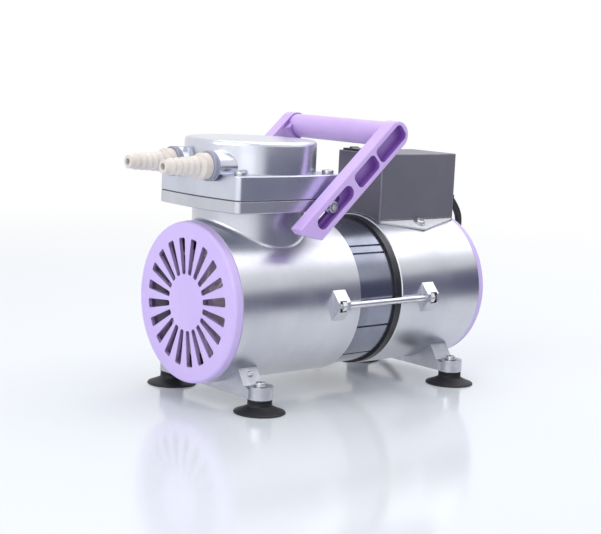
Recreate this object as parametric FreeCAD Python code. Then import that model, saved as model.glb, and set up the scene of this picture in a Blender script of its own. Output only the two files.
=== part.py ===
import FreeCAD, Part
import math
import os

# Portable diaphragm vacuum pump: a round motor barrel on four suction feet, a square head with a
# round cap over the front half, a terminal box over the rear half and a carrying bail.
# Millimetres. While it is built, X = 0 is the front cover's face, +X runs to the rear cover,
# +Y is the left side seen from the rear, Z = 0 is the floor. save() moves every piece so that
# the origin is on the floor under the middle of the pump.

V = FreeCAD.Vector
X_DIR = V(1, 0, 0)
Y_DIR = V(0, 1, 0)
Z_DIR = V(0, 0, 1)
SIDES = (-1, 1)

# Barrel
casing_radius = 60.6
barrel_clearance = 14.1
casing_wall = 3.6
front_casing_length = 113.0
rear_casing_length = 87.4
spigot_length = 6.0
fit_gap = 0.1
seat_gap = 0.3

# Covers
cover_step = 0.6
cover_depth = 7.0
cover_face = 3.0
cover_lip = 4.0
cover_lip_wall = 2.4
cover_edge_round = 2.6
slot_count = 20
slot_inner_radius = 21.0
slot_rim = 12.0
slot_inner_width = 3.9
slot_outer_width = 7.3
slot_corner = 1.5

# Stator
stator_length = 37.5
stator_step = 2.6
stator_bore = 33.2
band_width = 6.5
band_step = 0.6
stator_groove_depth = 1.4
stator_groove_angles = (45.0, 38.0, -20.0, -50.0)
stator_groove_width = 1.6
winding_length = 14.0
winding_above_bore = 2.8
winding_below_bore = 5.0
winding_bevel = 3.6

# Rotor
air_gap = 0.6
shaft_radius = 6.0
journal_radius = 7.5
shaft_front = 12.0
shaft_rear_margin = 16.0
rotor_ring_depth = 5.0
rotor_ring_step = 1.5
rotor_ring_width = 5.5
crank_throw = 3.0
eccentric_radius = 12.5
counterweight_gap = 19.0
counterweight_thickness = 9.0
fan_blades = 9
fan_gap = 11.0
fan_hub_radius = 13.0
fan_depth = 16.0
fan_disc = 2.0
fan_blade = 1.8
front_fan_start = 16.0
rear_fan_margin = 42.0

# Bearings and their shields
bearing_radius = 17.5
bearing_width = 11.0
bearing_split = 12.0
running_gap = 0.05
shield_front_margin = 40.0
shield_rear_margin = 70.0
shield_thickness = 9.0
shield_hub_radius = 24.0
shield_rim = 6.0
shield_spokes = 4
shield_spoke_width = 12.0

# Connecting rod
rod_bearing_radius = 23.5
rod_bearing_split = 17.5
rod_bearing_width = 12.0
rod_ring_wall = 5.5
rod_stem_width = 16.0
rod_stem_depth = 10.0
rod_web_recess = 3.0
rod_web_border = 3.0
rod_web_above_ring = 4.0
rod_web_below_plate = 6.0
rod_plate_radius = 23.0
rod_plate_thickness = 3.0
clamp_disc_radius = 21.0
clamp_disc_thickness = 2.8
clamp_screw_radius = 3.0

# Neck and head
head_x = 55.4
neck_radius = 42.3
neck_wall = 4.8
neck_rise = 9.7
neck_fillet = 3.0
plate_half = 52.0
plate_bulge = 4.0
plate_corner = 5.0
flange_thickness = 8.8
diaphragm_thickness = 1.0
diaphragm_inset = 0.4
head_plate_thickness = 17.2
chamber_step = 0.5
chamber_slope = 11.0
chamber_depth = 7.4
plate_edge = 0.8
cap_inset = 2.3
cap_height = 24.0
cap_edge_round = 3.2
cap_side_wall = 8.7
cap_chamber_height = 15.0
cap_wall_half = 3.0
head_screw_inset = 10.5
head_screw_radius = 2.6
head_screw_head_radius = 4.4
head_screw_head_height = 3.0

# Valves
valve_offset = 20.0
valve_radius = 7.0
valve_thickness = 1.2
valve_lift = 1.0
valve_pocket_radius = 7.6
valve_lip = 1.2
valve_lip_radius = 5.6
valve_port_radius = 1.6
valve_port_circle = 4.2
valve_port_count = 4
valve_stop_radius = 2.4

# Ports and hose barbs
port_inset = 30.0
port_above_plate = 5.5
boss_radius = 11.0
boss_reach = 3.2
collar_length = 4.5
barb_length = 38.0
barb_flange_length = 7.0
barb_flange_radius = 9.5
barb_tip_radius = 5.0
barb_tip_length = 3.0
barb_steps = 5
barb_pitch = 5.0
barb_rise = 1.1
barb_growth = 0.35
barb_bore = 2.5
barb_shank_radius = 4.9
barb_shank_length = 14.0

# Tie rods
rod_radius = 2.5
rod_standoff = 2.9
lug_width = 12.0
lug_front_margin = 28.0
lug_rear_margin = 22.0
lug_root_half = 11.5
lug_rise = 6.4
lug_outer_half = 3.2
lug_end_wall = 3.6
lug_thin_wall = 1.6
nut_across = 8.0
nut_height = 4.0
rod_end_margin = 0.6

# Feet
foot_front = 29.5
foot_rear_margin = 30.0
foot_inset = 5.6
foot_boss_radius = 9.5
foot_boss_bottom = 10.3
foot_boss_top = 19.7
foot_screw_hole = 3.2
bracket_bottom = 11.2
bracket_width = 17.4
bracket_shift = -2.6
bracket_shoulder = 4.8
bracket_lean = 8.2
cup_neck_radius = 9.2
cup_neck_base = 4.6
cup_radius = 19.2
cup_rim = 1.3
cup_hollow_radius = 16.5
cup_hollow_height = 2.8
cup_skirt_radius = 11.5

# Terminal box
box_front_inset = 4.0
box_length = 83.5
box_half_width = 26.0
box_rise = 49.7
sheet = 1.2
saddle_gap = 0.3
base_web_gap = 0.8
tab_angle = 61.0
tab_reach = 7.6
tab_thickness = 1.6
tab_gap = 0.1
capacitor_share = 0.28
capacitor_length = 52.0
switch_margin = 9.0
switch_side_margin = 3.5
switch_length = 21.0
switch_width = 15.0
switch_bezel = 1.8
switch_bezel_wall = 1.5
switch_body_depth = 14.0
rocker_rise = 2.4
rocker_swing = 8.0
rocker_gap = 0.35

# Handle
handle_bolt_behind = 30.5
handle_side_gap = 2.0
handle_arm = 11.0
handle_half_width = 10.4
handle_grip_distance = 80.5
handle_tail = 35.0
handle_tail_step = 5.4
handle_tail_slant = 10.6
handle_angle = 41.5
handle_pocket_depth = 6.8
handle_rim = 4.0
handle_pockets = ((54.5, 87.0), (26.5, 52.5))
handle_slot_pocket = (-21.0, 21.0)
handle_slot_pocket_half = 5.6
handle_slot_below = 15.0
handle_slot_above = 9.0
handle_slot_gap = 0.25
grip_flat = 1.0
grip_fillet = 5.0
bolt_radius = 2.5
bolt_head_radius = 4.4
bolt_head_height = 3.8
bolt_hex = 2.2
washer_thickness = 1.0
washer_radius = 5.0
spacer_radius = 4.3
bolt_grip = 12.0

# Mains cord, its strain relief and its plug. X is counted from the rear wall of the terminal
# box, and the relief ends where the route starts.
cord_radius = 3.0
relief_bend = 25.7
relief_base_radius = 5.8
relief_tip_radius = 4.1
gland_radius = 6.5
gland_nut_radius = 9.0
gland_nut_length = 3.2
cord_route = (
    (23.4, 0.0, 144.9),
    (32.3, 0.0, 135.8),
    (38.7, 2.6, 124.0),
    (41.3, 8.0, 109.5),
    (41.5, 15.6, 93.0),
    (40.1, 24.6, 75.5),
    (38.1, 35.4, 57.5),
    (35.9, 47.6, 40.5),
    (33.1, 60.2, 25.0),
    (27.5, 72.2, 13.2),
    (17.7, 81.4, 6.2),
    (3.5, 87.0, 3.1),
    (-11.5, 87.0, 3.1),
)
floor_gap = 0.1
coil_center = (-35.5, 126.0)
coil_inner = 24.0
coil_outer = 42.0
coil_layers = 2
coil_stub = 24.0
plug_radius = 19.0
plug_height = 18.0
plug_neck_length = 14.0
plug_neck_radius = 7.0
plug_insert_radius = 16.0
plug_insert_depth = 1.6
plug_pin_radius = 2.4
plug_pin_length = 19.0
plug_pin_spacing = 19.0

# Radii, stations along the barrel and heights that follow from the sizes above
axis_height = casing_radius + barrel_clearance
casing_bore = casing_radius - casing_wall
cover_radius = casing_radius - cover_step
slot_outer_radius = cover_radius - slot_rim
stator_radius = casing_radius - stator_step
band_radius = casing_radius - band_step
winding_inner = stator_bore + winding_above_bore
winding_outer = casing_bore - winding_below_bore
counterweight_radius = casing_bore - counterweight_gap
fan_radius = casing_bore - fan_gap
rod_from_axis = casing_radius + rod_standoff
lug_outer = casing_radius + lug_rise
foot_offset = casing_radius - foot_inset
chamber_radius = neck_radius - neck_wall - chamber_step
chamber_floor_radius = chamber_radius - chamber_slope
cap_radius = plate_half - cap_inset
cap_chamber_radius = cap_radius - cap_side_wall
head_screw_offset = plate_half - head_screw_inset
port_offset = plate_half - port_inset
handle_inner = plate_half + handle_side_gap
handle_bolt_x = head_x + handle_bolt_behind
x_stator = cover_depth + front_casing_length
x_band = x_stator + stator_length
x_rear_casing = x_band + band_width
x_rear_cover = x_rear_casing + rear_casing_length
x_end = x_rear_cover + cover_depth
x_shield_front = x_stator - shield_front_margin
x_shield_rear = x_end - shield_rear_margin
x_rear_fan = x_end - rear_fan_margin
lug_front = x_stator - lug_front_margin
lug_rear = x_rear_casing + lug_rear_margin
foot_rear = x_end - foot_rear_margin
x_collar_rear = head_x - cap_radius - boss_reach
x_collar_front = x_collar_rear - collar_length
x_barb_tip = x_collar_front - barb_length
x_box = x_rear_casing + box_front_inset
x_box_rear = x_box + box_length
switch_x = x_box + switch_margin
switch_y = box_half_width - switch_side_margin - switch_length / 2
x_origin = (x_end + x_barb_tip) / 2
z_barrel_top = axis_height + casing_radius
z_flange = z_barrel_top + neck_rise
z_diaphragm = z_flange + flange_thickness
z_head = z_diaphragm + diaphragm_thickness
z_cap = z_head + head_plate_thickness
z_top = z_cap + cap_height
z_port = z_cap + port_above_plate
z_crank = axis_height + crank_throw
z_bolt = z_flange + flange_thickness / 2
z_chamber_top = z_head + chamber_depth
z_inlet_seat = z_chamber_top + valve_lip + valve_lift + valve_thickness + 0.1
z_outlet_seat = z_cap - valve_lift - valve_thickness - 0.4
box_height = z_barrel_top + box_rise
capacitor_radius = box_rise * capacitor_share
z_coil_top = floor_gap + 2 * cord_radius * coil_layers
relief_turn = math.atan2(cord_route[0][2] - cord_route[1][2], cord_route[1][0] - cord_route[0][0])
x_relief = x_box_rear + cord_route[0][0] - relief_bend * math.sin(relief_turn)
z_gland = cord_route[0][2] + relief_bend * (1 - math.cos(relief_turn))


def save(node, shape):
    """Move a piece to the part's origin and write it to its own file."""
    shape.translated(V(-x_origin, 0, 0)).exportStep("parts/" + node + ".step")


def rod_x(radius, x0, x1, y=0.0, z=axis_height):
    return Part.makeCylinder(radius, x1 - x0, V(x0, y, z), X_DIR)


def rod_y(radius, y0, y1, x, z):
    return Part.makeCylinder(radius, y1 - y0, V(x, y0, z), Y_DIR)


def rod_z(radius, z0, z1, x, y):
    return Part.makeCylinder(radius, z1 - z0, V(x, y, z0), Z_DIR)


def tube_x(outer, inner, x0, x1, z=axis_height):
    return rod_x(outer, x0, x1, z=z).cut(rod_x(inner, x0, x1, z=z))


def block(x0, x1, y0, y1, z0, z1):
    return Part.makeBox(x1 - x0, y1 - y0, z1 - z0, V(x0, y0, z0))


def flat_face(points):
    return Part.Face(Part.makePolygon(points + [points[0]]))


def prism_x(points, x0, x1):
    """Extrude a (y, z) outline along X."""
    return flat_face([V(x0, y, z) for y, z in points]).extrude(V(x1 - x0, 0, 0))


def prism_y(points, y0, y1):
    """Extrude an (x, z) outline along Y."""
    return flat_face([V(x, y0, z) for x, z in points]).extrude(V(0, y1 - y0, 0))


def prism_z(points, z0, z1):
    """Extrude an (x, y) outline along Z."""
    return flat_face([V(x, y, z0) for x, y in points]).extrude(V(0, 0, z1 - z0))


def lathe_x(profile, y=0.0, z=axis_height):
    """Turn an (x, radius) outline about a line along X."""
    face = flat_face([V(x, y, z + radius) for x, radius in profile])
    return face.revolve(V(0, y, z), X_DIR, 360)


def lathe_z(profile, x, y):
    """Turn a (radius, z) outline about a line along Z."""
    face = flat_face([V(x + radius, y, z) for radius, z in profile])
    return face.revolve(V(x, y, 0), Z_DIR, 360)


def around_axis(shape, angle):
    """A copy turned about the barrel's axis, in degrees."""
    copy = shape.copy()
    copy.rotate(V(0, 0, axis_height), X_DIR, angle)
    return copy


def ring_of(shape, count, first=0.0):
    return [around_axis(shape, first + 360.0 * i / count) for i in range(count)]


def edges_along(shape, direction):
    """Straight edges that run along a direction."""
    found = []
    for edge in shape.Edges:
        if isinstance(edge.Curve, Part.Line) and abs(edge.Curve.Direction.dot(direction)) > 0.999:
            found.append(edge)
    return found


def round_edges_at(shape, radius, axis, level):
    """Fillet every edge that lies in the plane where one coordinate has this value."""
    found = []
    for edge in shape.Edges:
        box = edge.BoundBox
        low, high = {"x": (box.XMin, box.XMax), "y": (box.YMin, box.YMax), "z": (box.ZMin, box.ZMax)}[axis]
        if abs(low - level) < 0.01 and abs(high - level) < 0.01:
            found.append(edge)
    return shape.makeFillet(radius, found)


def mirrored(shape):
    return shape.mirror(V(0, 0, 0), Y_DIR)


def cover(x_face, inward):
    """Round cover with radial slots. Its face is at x_face and it reaches inwards along +X or -X."""
    depth = x_face + inward * cover_depth
    lip_end = depth + inward * cover_lip
    lip_radius = casing_bore - fit_gap
    hollow = lip_radius - cover_lip_wall
    body = lathe_x([
        (x_face, 0), (x_face, cover_radius), (depth, cover_radius), (depth, lip_radius),
        (lip_end, lip_radius), (lip_end, hollow),
        (x_face + inward * cover_face, hollow), (x_face + inward * cover_face, 0),
    ])
    body = round_edges_at(body, cover_edge_round, "x", x_face)
    low = min(x_face, x_face + inward * cover_face) - 1.0
    slot = prism_x([
        (-slot_inner_width / 2, axis_height + slot_inner_radius),
        (slot_inner_width / 2, axis_height + slot_inner_radius),
        (slot_outer_width / 2, axis_height + slot_outer_radius),
        (-slot_outer_width / 2, axis_height + slot_outer_radius),
    ], low, low + cover_face + 2.0)
    slot = slot.makeFillet(slot_corner, edges_along(slot, X_DIR))
    return body.cut(ring_of(slot, slot_count, 180.0 / slot_count))


def lug(x0, wall_side, side):
    """Wedge on the casing that a tie rod pulls on. The thick wall is at its wall_side end."""
    x1 = x0 + lug_width
    slope = (lug_root_half - lug_outer_half) / (lug_outer - casing_radius + 1.0)
    root = casing_bore + 0.5
    root_half = lug_outer_half + slope * (lug_outer - root)
    outline = [
        (root, axis_height - root_half), (lug_outer, axis_height - lug_outer_half),
        (lug_outer, axis_height + lug_outer_half), (root, axis_height + root_half),
    ]
    wedge = prism_x(outline, x0, x1)
    x_open = x0 + (lug_thin_wall if wall_side > 0 else lug_end_wall)
    x_shut = x1 - (lug_end_wall if wall_side > 0 else lug_thin_wall)
    nut_half = nut_across / math.sqrt(3)
    pocket_half = nut_across / 2 + seat_gap
    pocket = block(x_open, x_shut, rod_from_axis - nut_half - seat_gap, lug_outer + 1,
                   axis_height - pocket_half, axis_height + pocket_half)
    hole_start = x1 - lug_end_wall - 1 if wall_side > 0 else x0 - 1
    hole = rod_x(rod_radius + fit_gap, hole_start, hole_start + lug_end_wall + 2, rod_from_axis)
    pieces = [wedge, pocket, hole]
    return [piece if side > 0 else mirrored(piece) for piece in pieces]


def with_lugs(casing, x0, wall_side):
    for side in SIDES:
        wedge, pocket, hole = lug(x0, wall_side, side)
        casing = casing.fuse(wedge).cut(pocket).cut(hole)
    return casing


def plate_outline(inset, z0, z1):
    """Square plate with slightly bowed sides and round corners, centred over the neck."""
    half = plate_half - plate_bulge
    bow = plate_half
    corners = [V(head_x - half, -half, z0), V(head_x + half, -half, z0),
               V(head_x + half, half, z0), V(head_x - half, half, z0)]
    middles = [V(head_x, -bow, z0), V(head_x + bow, 0, z0), V(head_x, bow, z0), V(head_x - bow, 0, z0)]
    edges = []
    for i in range(4):
        edges.append(Part.Arc(corners[i], middles[i], corners[(i + 1) % 4]).toShape())
    solid = Part.Face(Part.Wire(edges)).extrude(V(0, 0, z1 - z0))
    solid = solid.makeFillet(plate_corner, edges_along(solid, Z_DIR))
    if inset > 0:
        share = (plate_half - inset) / plate_half
        matrix = FreeCAD.Matrix()
        matrix.move(V(-head_x, 0, 0))
        matrix.scale(V(share, share, 1))
        matrix.move(V(head_x, 0, 0))
        solid = solid.transformGeometry(matrix)
    return solid


def head_screw_places():
    return [(head_x + sx * head_screw_offset, sy * head_screw_offset) for sx in SIDES for sy in SIDES]


def make_front_casing():
    """Front half of the barrel, with the neck and the square flange cast on."""
    barrel = rod_x(casing_radius, cover_depth, x_stator)
    neck = rod_z(neck_radius, axis_height, z_flange, head_x, 0)
    body = barrel.fuse(neck)
    joint = []
    for edge in body.Edges:
        box = edge.BoundBox
        if box.ZMin > axis_height + 5 and box.ZMax < z_flange - 1 and box.XLength > neck_radius:
            joint.append(edge)
    body = body.makeFillet(neck_fillet, joint)
    flange = plate_outline(0, z_flange, z_diaphragm)
    flange = round_edges_at(flange, plate_edge, "z", z_flange)
    body = body.fuse(flange)
    body = with_lugs(body, lug_front, 1)
    body = body.cut(rod_x(casing_bore, cover_depth, x_stator))
    body = body.cut(rod_z(neck_radius - neck_wall, axis_height, z_diaphragm, head_x, 0))
    for x, y in head_screw_places():
        body = body.cut(rod_z(head_screw_radius + running_gap, z_flange, z_diaphragm, x, y))
    for side in SIDES:
        hole = rod_y(bolt_radius + running_gap, handle_inner - bolt_grip, plate_half + 1, handle_bolt_x, z_bolt)
        body = body.cut(hole if side > 0 else mirrored(hole))
    return body


def make_rear_casing():
    body = rod_x(casing_radius, x_rear_casing, x_rear_cover)
    body = with_lugs(body, lug_rear, -1)
    body = body.cut(rod_x(casing_bore, x_rear_casing, x_rear_cover))
    return body.makeChamfer(0.8, [edge for edge in body.Edges
                                  if edge.BoundBox.XMax < x_rear_casing + 0.01
                                  and edge.BoundBox.YLength > 2 * casing_radius - 0.1])


def make_stator_core():
    """Lamination stack. Both ends are turned down to sit inside the casings."""
    spigot = casing_bore - fit_gap
    core = lathe_x([
        (x_stator - spigot_length, stator_bore), (x_stator - spigot_length, spigot),
        (x_stator, spigot), (x_stator, stator_radius), (x_band, stator_radius),
        (x_band, spigot), (x_rear_casing + spigot_length, spigot),
        (x_rear_casing + spigot_length, stator_bore),
    ])
    groove = block(x_stator, x_band, stator_radius - stator_groove_depth, stator_radius + 1,
                   axis_height - stator_groove_width / 2, axis_height + stator_groove_width / 2)
    cuts = []
    for angle in stator_groove_angles:
        cuts.append(around_axis(groove, angle))
        cuts.append(around_axis(groove, 180 - angle))
    return core.cut(cuts)


def make_band():
    return tube_x(band_radius, casing_bore, x_band, x_rear_casing)


def make_winding(x0):
    ring = lathe_x([(x0, winding_inner), (x0, winding_outer),
                    (x0 + winding_length, winding_outer), (x0 + winding_length, winding_inner)])
    return ring.makeChamfer(winding_bevel, ring.Edges)


def make_shield(x0):
    """Spider that carries a bearing in the middle of the casing."""
    x1 = x0 + shield_thickness
    rim = tube_x(casing_bore - fit_gap, casing_bore - shield_rim, x0, x1)
    hub = rod_x(shield_hub_radius, x0 - 1, x0 + bearing_width + 1)
    spoke = block(x0, x1, -shield_spoke_width / 2, shield_spoke_width / 2,
                  axis_height + shield_hub_radius - 2, axis_height + casing_bore - shield_rim / 2)
    body = rim.fuse([hub] + ring_of(spoke, shield_spokes, 180.0 / shield_spokes))
    seat = rod_x(bearing_radius, x0, x0 + bearing_width + 1)
    return body.cut(seat).cut(rod_x(bearing_split, x0 - 1, x0 + 1))


def make_bearing_outer(x0):
    return tube_x(bearing_radius - fit_gap / 2, bearing_split + running_gap, x0, x0 + bearing_width)


def make_shaft():
    """Stepped shaft with the inner rings of both bearings on its journals."""
    x_rear_end = x_end - shaft_rear_margin
    shaft = rod_x(shaft_radius, shaft_front, x_rear_end)
    shaft = shaft.fuse(rod_x(journal_radius, x_shield_front, x_shield_rear + bearing_width))
    shaft = shaft.fuse(rod_x(bearing_split, x_shield_front, x_shield_front + bearing_width))
    shaft = shaft.fuse(rod_x(bearing_split, x_shield_rear, x_shield_rear + bearing_width))
    return shaft.makeChamfer(0.8, [edge for edge in shaft.Edges
                                   if edge.BoundBox.XMax < shaft_front + 0.01
                                   or edge.BoundBox.XMin > x_rear_end - 0.01])


def make_rotor_core():
    x0 = x_stator - spigot_length
    x1 = x_rear_casing + spigot_length
    radius = stator_bore - air_gap
    core = rod_x(radius, x0, x1)
    outer = radius - rotor_ring_step
    ring = tube_x(outer, outer - rotor_ring_width, x0 - rotor_ring_depth, x1 + rotor_ring_depth)
    return core.fuse(ring).cut(rod_x(journal_radius, x0, x1))


def make_eccentric():
    """Crank disc that the rod bearing sits on, with a counterweight behind it."""
    x0 = head_x - rod_bearing_width / 2
    x1 = head_x + rod_bearing_width / 2
    pin = rod_x(rod_bearing_split - running_gap, x0, x1, z=z_crank)
    hub = rod_x(eccentric_radius, x0 - 2, x1 + 1, z=z_crank)
    disc = rod_x(counterweight_radius, x1 + 1, x1 + 1 + counterweight_thickness)
    keep = block(x1, x1 + 2 + counterweight_thickness, -counterweight_radius, counterweight_radius,
                 axis_height - counterweight_radius, axis_height)
    hub_disc = rod_x(eccentric_radius + 3, x1 + 1, x1 + 1 + counterweight_thickness)
    body = pin.fuse([hub, disc.common(keep), hub_disc])
    return body.cut(rod_x(shaft_radius, x0 - 3, x1 + 3 + counterweight_thickness))


def make_fan(x0, blade_side):
    """Disc with curved blades. blade_side gives the face that the blades stand on."""
    disc_x = x0 if blade_side > 0 else x0 + fan_depth - fan_disc
    disc = rod_x(fan_radius, disc_x, disc_x + fan_disc)
    hub = rod_x(fan_hub_radius, x0, x0 + fan_depth)
    curve = fan_radius * 0.7
    shell = Part.makeCylinder(curve, fan_depth, V(x0, curve * 0.8, axis_height + fan_radius * 0.55), X_DIR)
    shell = shell.cut(Part.makeCylinder(curve - fan_blade, fan_depth,
                                        V(x0, curve * 0.8, axis_height + fan_radius * 0.55), X_DIR))
    window = block(x0, x0 + fan_depth, -fan_radius * 0.6, curve * 0.8, axis_height + 1, axis_height + fan_radius)
    annulus = tube_x(fan_radius - 1.0, fan_hub_radius - 1.0, x0, x0 + fan_depth)
    blade = shell.common(window).common(annulus)
    body = disc.fuse([hub] + ring_of(blade, fan_blades))
    return body.cut(rod_x(shaft_radius, x0, x0 + fan_depth))


def make_connecting_rod():
    """Ring round the crank bearing, I-section stem and the plate under the diaphragm."""
    x0 = head_x - rod_bearing_width / 2
    x1 = head_x + rod_bearing_width / 2
    outer = rod_bearing_radius + rod_ring_wall
    plate_top = z_diaphragm + crank_throw
    plate_bottom = plate_top - rod_plate_thickness
    ring = rod_x(outer, x0, x1, z=z_crank)
    stem = prism_x([
        (-rod_stem_width / 2 - 3, z_crank + rod_bearing_radius), (rod_stem_width / 2 + 3, z_crank + rod_bearing_radius),
        (rod_stem_width / 2, plate_bottom + 1), (-rod_stem_width / 2, plate_bottom + 1),
    ], head_x - rod_stem_depth / 2, head_x + rod_stem_depth / 2)
    plate = rod_z(rod_plate_radius, plate_bottom, plate_top, head_x, 0)
    body = ring.fuse([stem, plate])
    web_half = rod_stem_width / 2 - rod_web_border
    recess = block(0, rod_stem_depth, -web_half, web_half,
                   z_crank + outer + rod_web_above_ring, plate_bottom - rod_web_below_plate)
    recess = recess.makeFillet(2.0, edges_along(recess, X_DIR))
    for side in SIDES:
        start = rod_stem_depth / 2 - rod_web_recess if side > 0 else -rod_stem_depth * 1.5 + rod_web_recess
        body = body.cut(recess.translated(V(head_x + start, 0, 0)))
    body = body.cut(rod_x(rod_bearing_radius, x0, x1, z=z_crank))
    return body.cut(rod_z(clamp_screw_radius, plate_bottom - 4, plate_top, head_x, 0))


def make_rod_bearing():
    x0 = head_x - rod_bearing_width / 2
    return tube_x(rod_bearing_radius, rod_bearing_split, x0, x0 + rod_bearing_width, z=z_crank)


def make_clamp_disc():
    """Disc that clamps the middle of the diaphragm, with its screw."""
    bottom = z_head + crank_throw
    top = bottom + clamp_disc_thickness
    disc = rod_z(clamp_disc_radius, bottom, top, head_x, 0)
    disc = round_edges_at(disc, 1.0, "z", top)
    screw = rod_z(clamp_screw_radius, bottom - diaphragm_thickness - rod_plate_thickness - 3, top, head_x, 0)
    return disc.fuse(screw)


def make_diaphragm():
    """Rubber sheet clamped between flange and head, drawn up in the middle at the top of the stroke."""
    inner = rod_plate_radius + 0.5
    middle = (inner + chamber_radius) / 2
    low = z_diaphragm
    high = z_diaphragm + crank_throw
    t = diaphragm_thickness
    rim = plate_outline(diaphragm_inset, low, low + t)
    rim = rim.cut(rod_z(chamber_radius - 1, low, low + t, head_x, 0))
    dish = lathe_z([
        (clamp_screw_radius, high), (inner, high), (middle, low + crank_throw * 0.4), (chamber_radius, low),
        (chamber_radius, low + t), (middle, low + crank_throw * 0.4 + t), (inner, high + t),
        (clamp_screw_radius, high + t),
    ], head_x, 0)
    body = rim.fuse(dish)
    for x, y in head_screw_places():
        body = body.cut(rod_z(head_screw_radius + seat_gap, low, low + t, x, y))
    return body


def valve_ports(y, z0, z1):
    ports = []
    for i in range(valve_port_count):
        turn = math.radians(45 + 360.0 * i / valve_port_count)
        ports.append(rod_z(valve_port_radius, z0, z1, head_x + valve_port_circle * math.cos(turn),
                           y + valve_port_circle * math.sin(turn)))
    return ports


def make_head_plate():
    """Square plate over the diaphragm, with the pumping chamber below and both valve seats."""
    body = plate_outline(0, z_head, z_cap)
    body = round_edges_at(body, plate_edge, "z", z_cap)
    chamber = lathe_z([(0, z_head), (chamber_radius, z_head), (chamber_floor_radius, z_chamber_top),
                       (0, z_chamber_top)], head_x, 0)
    body = body.cut(chamber)
    inlet = rod_z(valve_pocket_radius, z_chamber_top + valve_lip, z_inlet_seat, head_x, -valve_offset)
    mouth = rod_z(valve_lip_radius, z_chamber_top - 2, z_chamber_top + valve_lip, head_x, -valve_offset)
    outlet = rod_z(valve_pocket_radius, z_outlet_seat, z_cap, head_x, valve_offset)
    body = body.cut([inlet, mouth, outlet])
    body = body.cut(valve_ports(-valve_offset, z_inlet_seat, z_cap))
    body = body.cut(valve_ports(valve_offset, z_chamber_top - 2, z_outlet_seat))
    for x, y in head_screw_places():
        body = body.cut(rod_z(head_screw_radius + running_gap, z_head, z_cap, x, y))
    return body


def make_valve(y, z0):
    return rod_z(valve_radius, z0, z0 + valve_thickness, head_x, y)


def make_head_cap():
    """Round cap with an inlet and an outlet chamber and the two port bosses."""
    body = rod_z(cap_radius, z_cap, z_top, head_x, 0)
    body = round_edges_at(body, cap_edge_round, "z", z_top)
    above = block(x_collar_rear, head_x, -cap_radius, cap_radius, z_cap, z_top)
    for side in SIDES:
        boss = rod_x(boss_radius, x_collar_rear, head_x, side * port_offset, z_port)
        body = body.fuse(boss.common(above))
    chamber = rod_z(cap_chamber_radius, z_cap, z_cap + cap_chamber_height, head_x, 0)
    wall = block(head_x - cap_radius, head_x + cap_radius, -cap_wall_half, cap_wall_half, z_cap, z_top)
    body = body.cut(chamber.cut(wall))
    for side in SIDES:
        body = body.cut(rod_x(barb_shank_radius + running_gap, x_collar_rear, head_x, side * port_offset, z_port))
    stop = rod_z(valve_stop_radius, z_outlet_seat + valve_thickness + valve_lift + 0.1,
                 z_cap + cap_chamber_height + 1, head_x, valve_offset)
    return body.fuse(stop)


def make_head_screw(x, y):
    head = rod_z(head_screw_head_radius, z_cap, z_cap + head_screw_head_height, x, y)
    head = round_edges_at(head, 1.0, "z", z_cap + head_screw_head_height)
    shank = rod_z(head_screw_radius, z_flange + 1, z_cap, x, y)
    return head.fuse(shank)


def make_collar(side):
    """Sealing ring between the hose barb's flange and the port boss."""
    ring = rod_x(boss_radius, x_collar_front, x_collar_rear, side * port_offset, z_port)
    ring = round_edges_at(ring, 0.8, "x", x_collar_front)
    return ring.cut(rod_x(barb_shank_radius + running_gap, x_collar_front, x_collar_rear,
                          side * port_offset, z_port))


def make_barb(side):
    """Stepped hose barb with its flange and the shank that screws into the boss."""
    tip = x_barb_tip
    x = tip + barb_tip_length
    profile = [(tip, barb_bore), (tip, barb_tip_radius - 0.4), (tip + 0.6, barb_tip_radius), (x, barb_tip_radius)]
    for step in range(barb_steps):
        low = barb_tip_radius + barb_growth * step
        profile.append((x + 0.2, low))
        profile.append((x + barb_pitch - 1.0, low + barb_rise))
        x += barb_pitch
        profile.append((x - 0.2, low + barb_rise))
    flange_front = x_collar_front - barb_flange_length
    neck = barb_tip_radius + barb_growth * barb_steps
    profile += [
        (x, neck), (flange_front - 2.0, neck), (flange_front, barb_flange_radius),
        (x_collar_front, barb_flange_radius), (x_collar_front, barb_shank_radius),
        (x_collar_front + barb_shank_length, barb_shank_radius), (x_collar_front + barb_shank_length, barb_bore),
    ]
    return lathe_x(profile, side * port_offset, z_port)


def make_tie_rod(side):
    x0 = lug_front + lug_thin_wall + rod_end_margin
    x1 = lug_rear + lug_width - lug_thin_wall - rod_end_margin
    rod = rod_x(rod_radius, x0, x1, side * rod_from_axis)
    return rod.makeChamfer(0.5, [edge for edge in rod.Edges if edge.BoundBox.XLength < 0.01])


def make_nut(side, x0):
    flat = nut_across / 2
    corner = nut_across / math.sqrt(3)
    outline = []
    for i in range(6):
        turn = math.radians(60 * i)
        outline.append((side * rod_from_axis + corner * math.cos(turn), axis_height + corner * math.sin(turn)))
    nut = prism_x(outline, x0, x0 + nut_height)
    bevel = rod_x((flat + corner) / 2, x0, x0 + nut_height, side * rod_from_axis)
    return nut.common(bevel).cut(rod_x(rod_radius, x0, x0 + nut_height, side * rod_from_axis))


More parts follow.
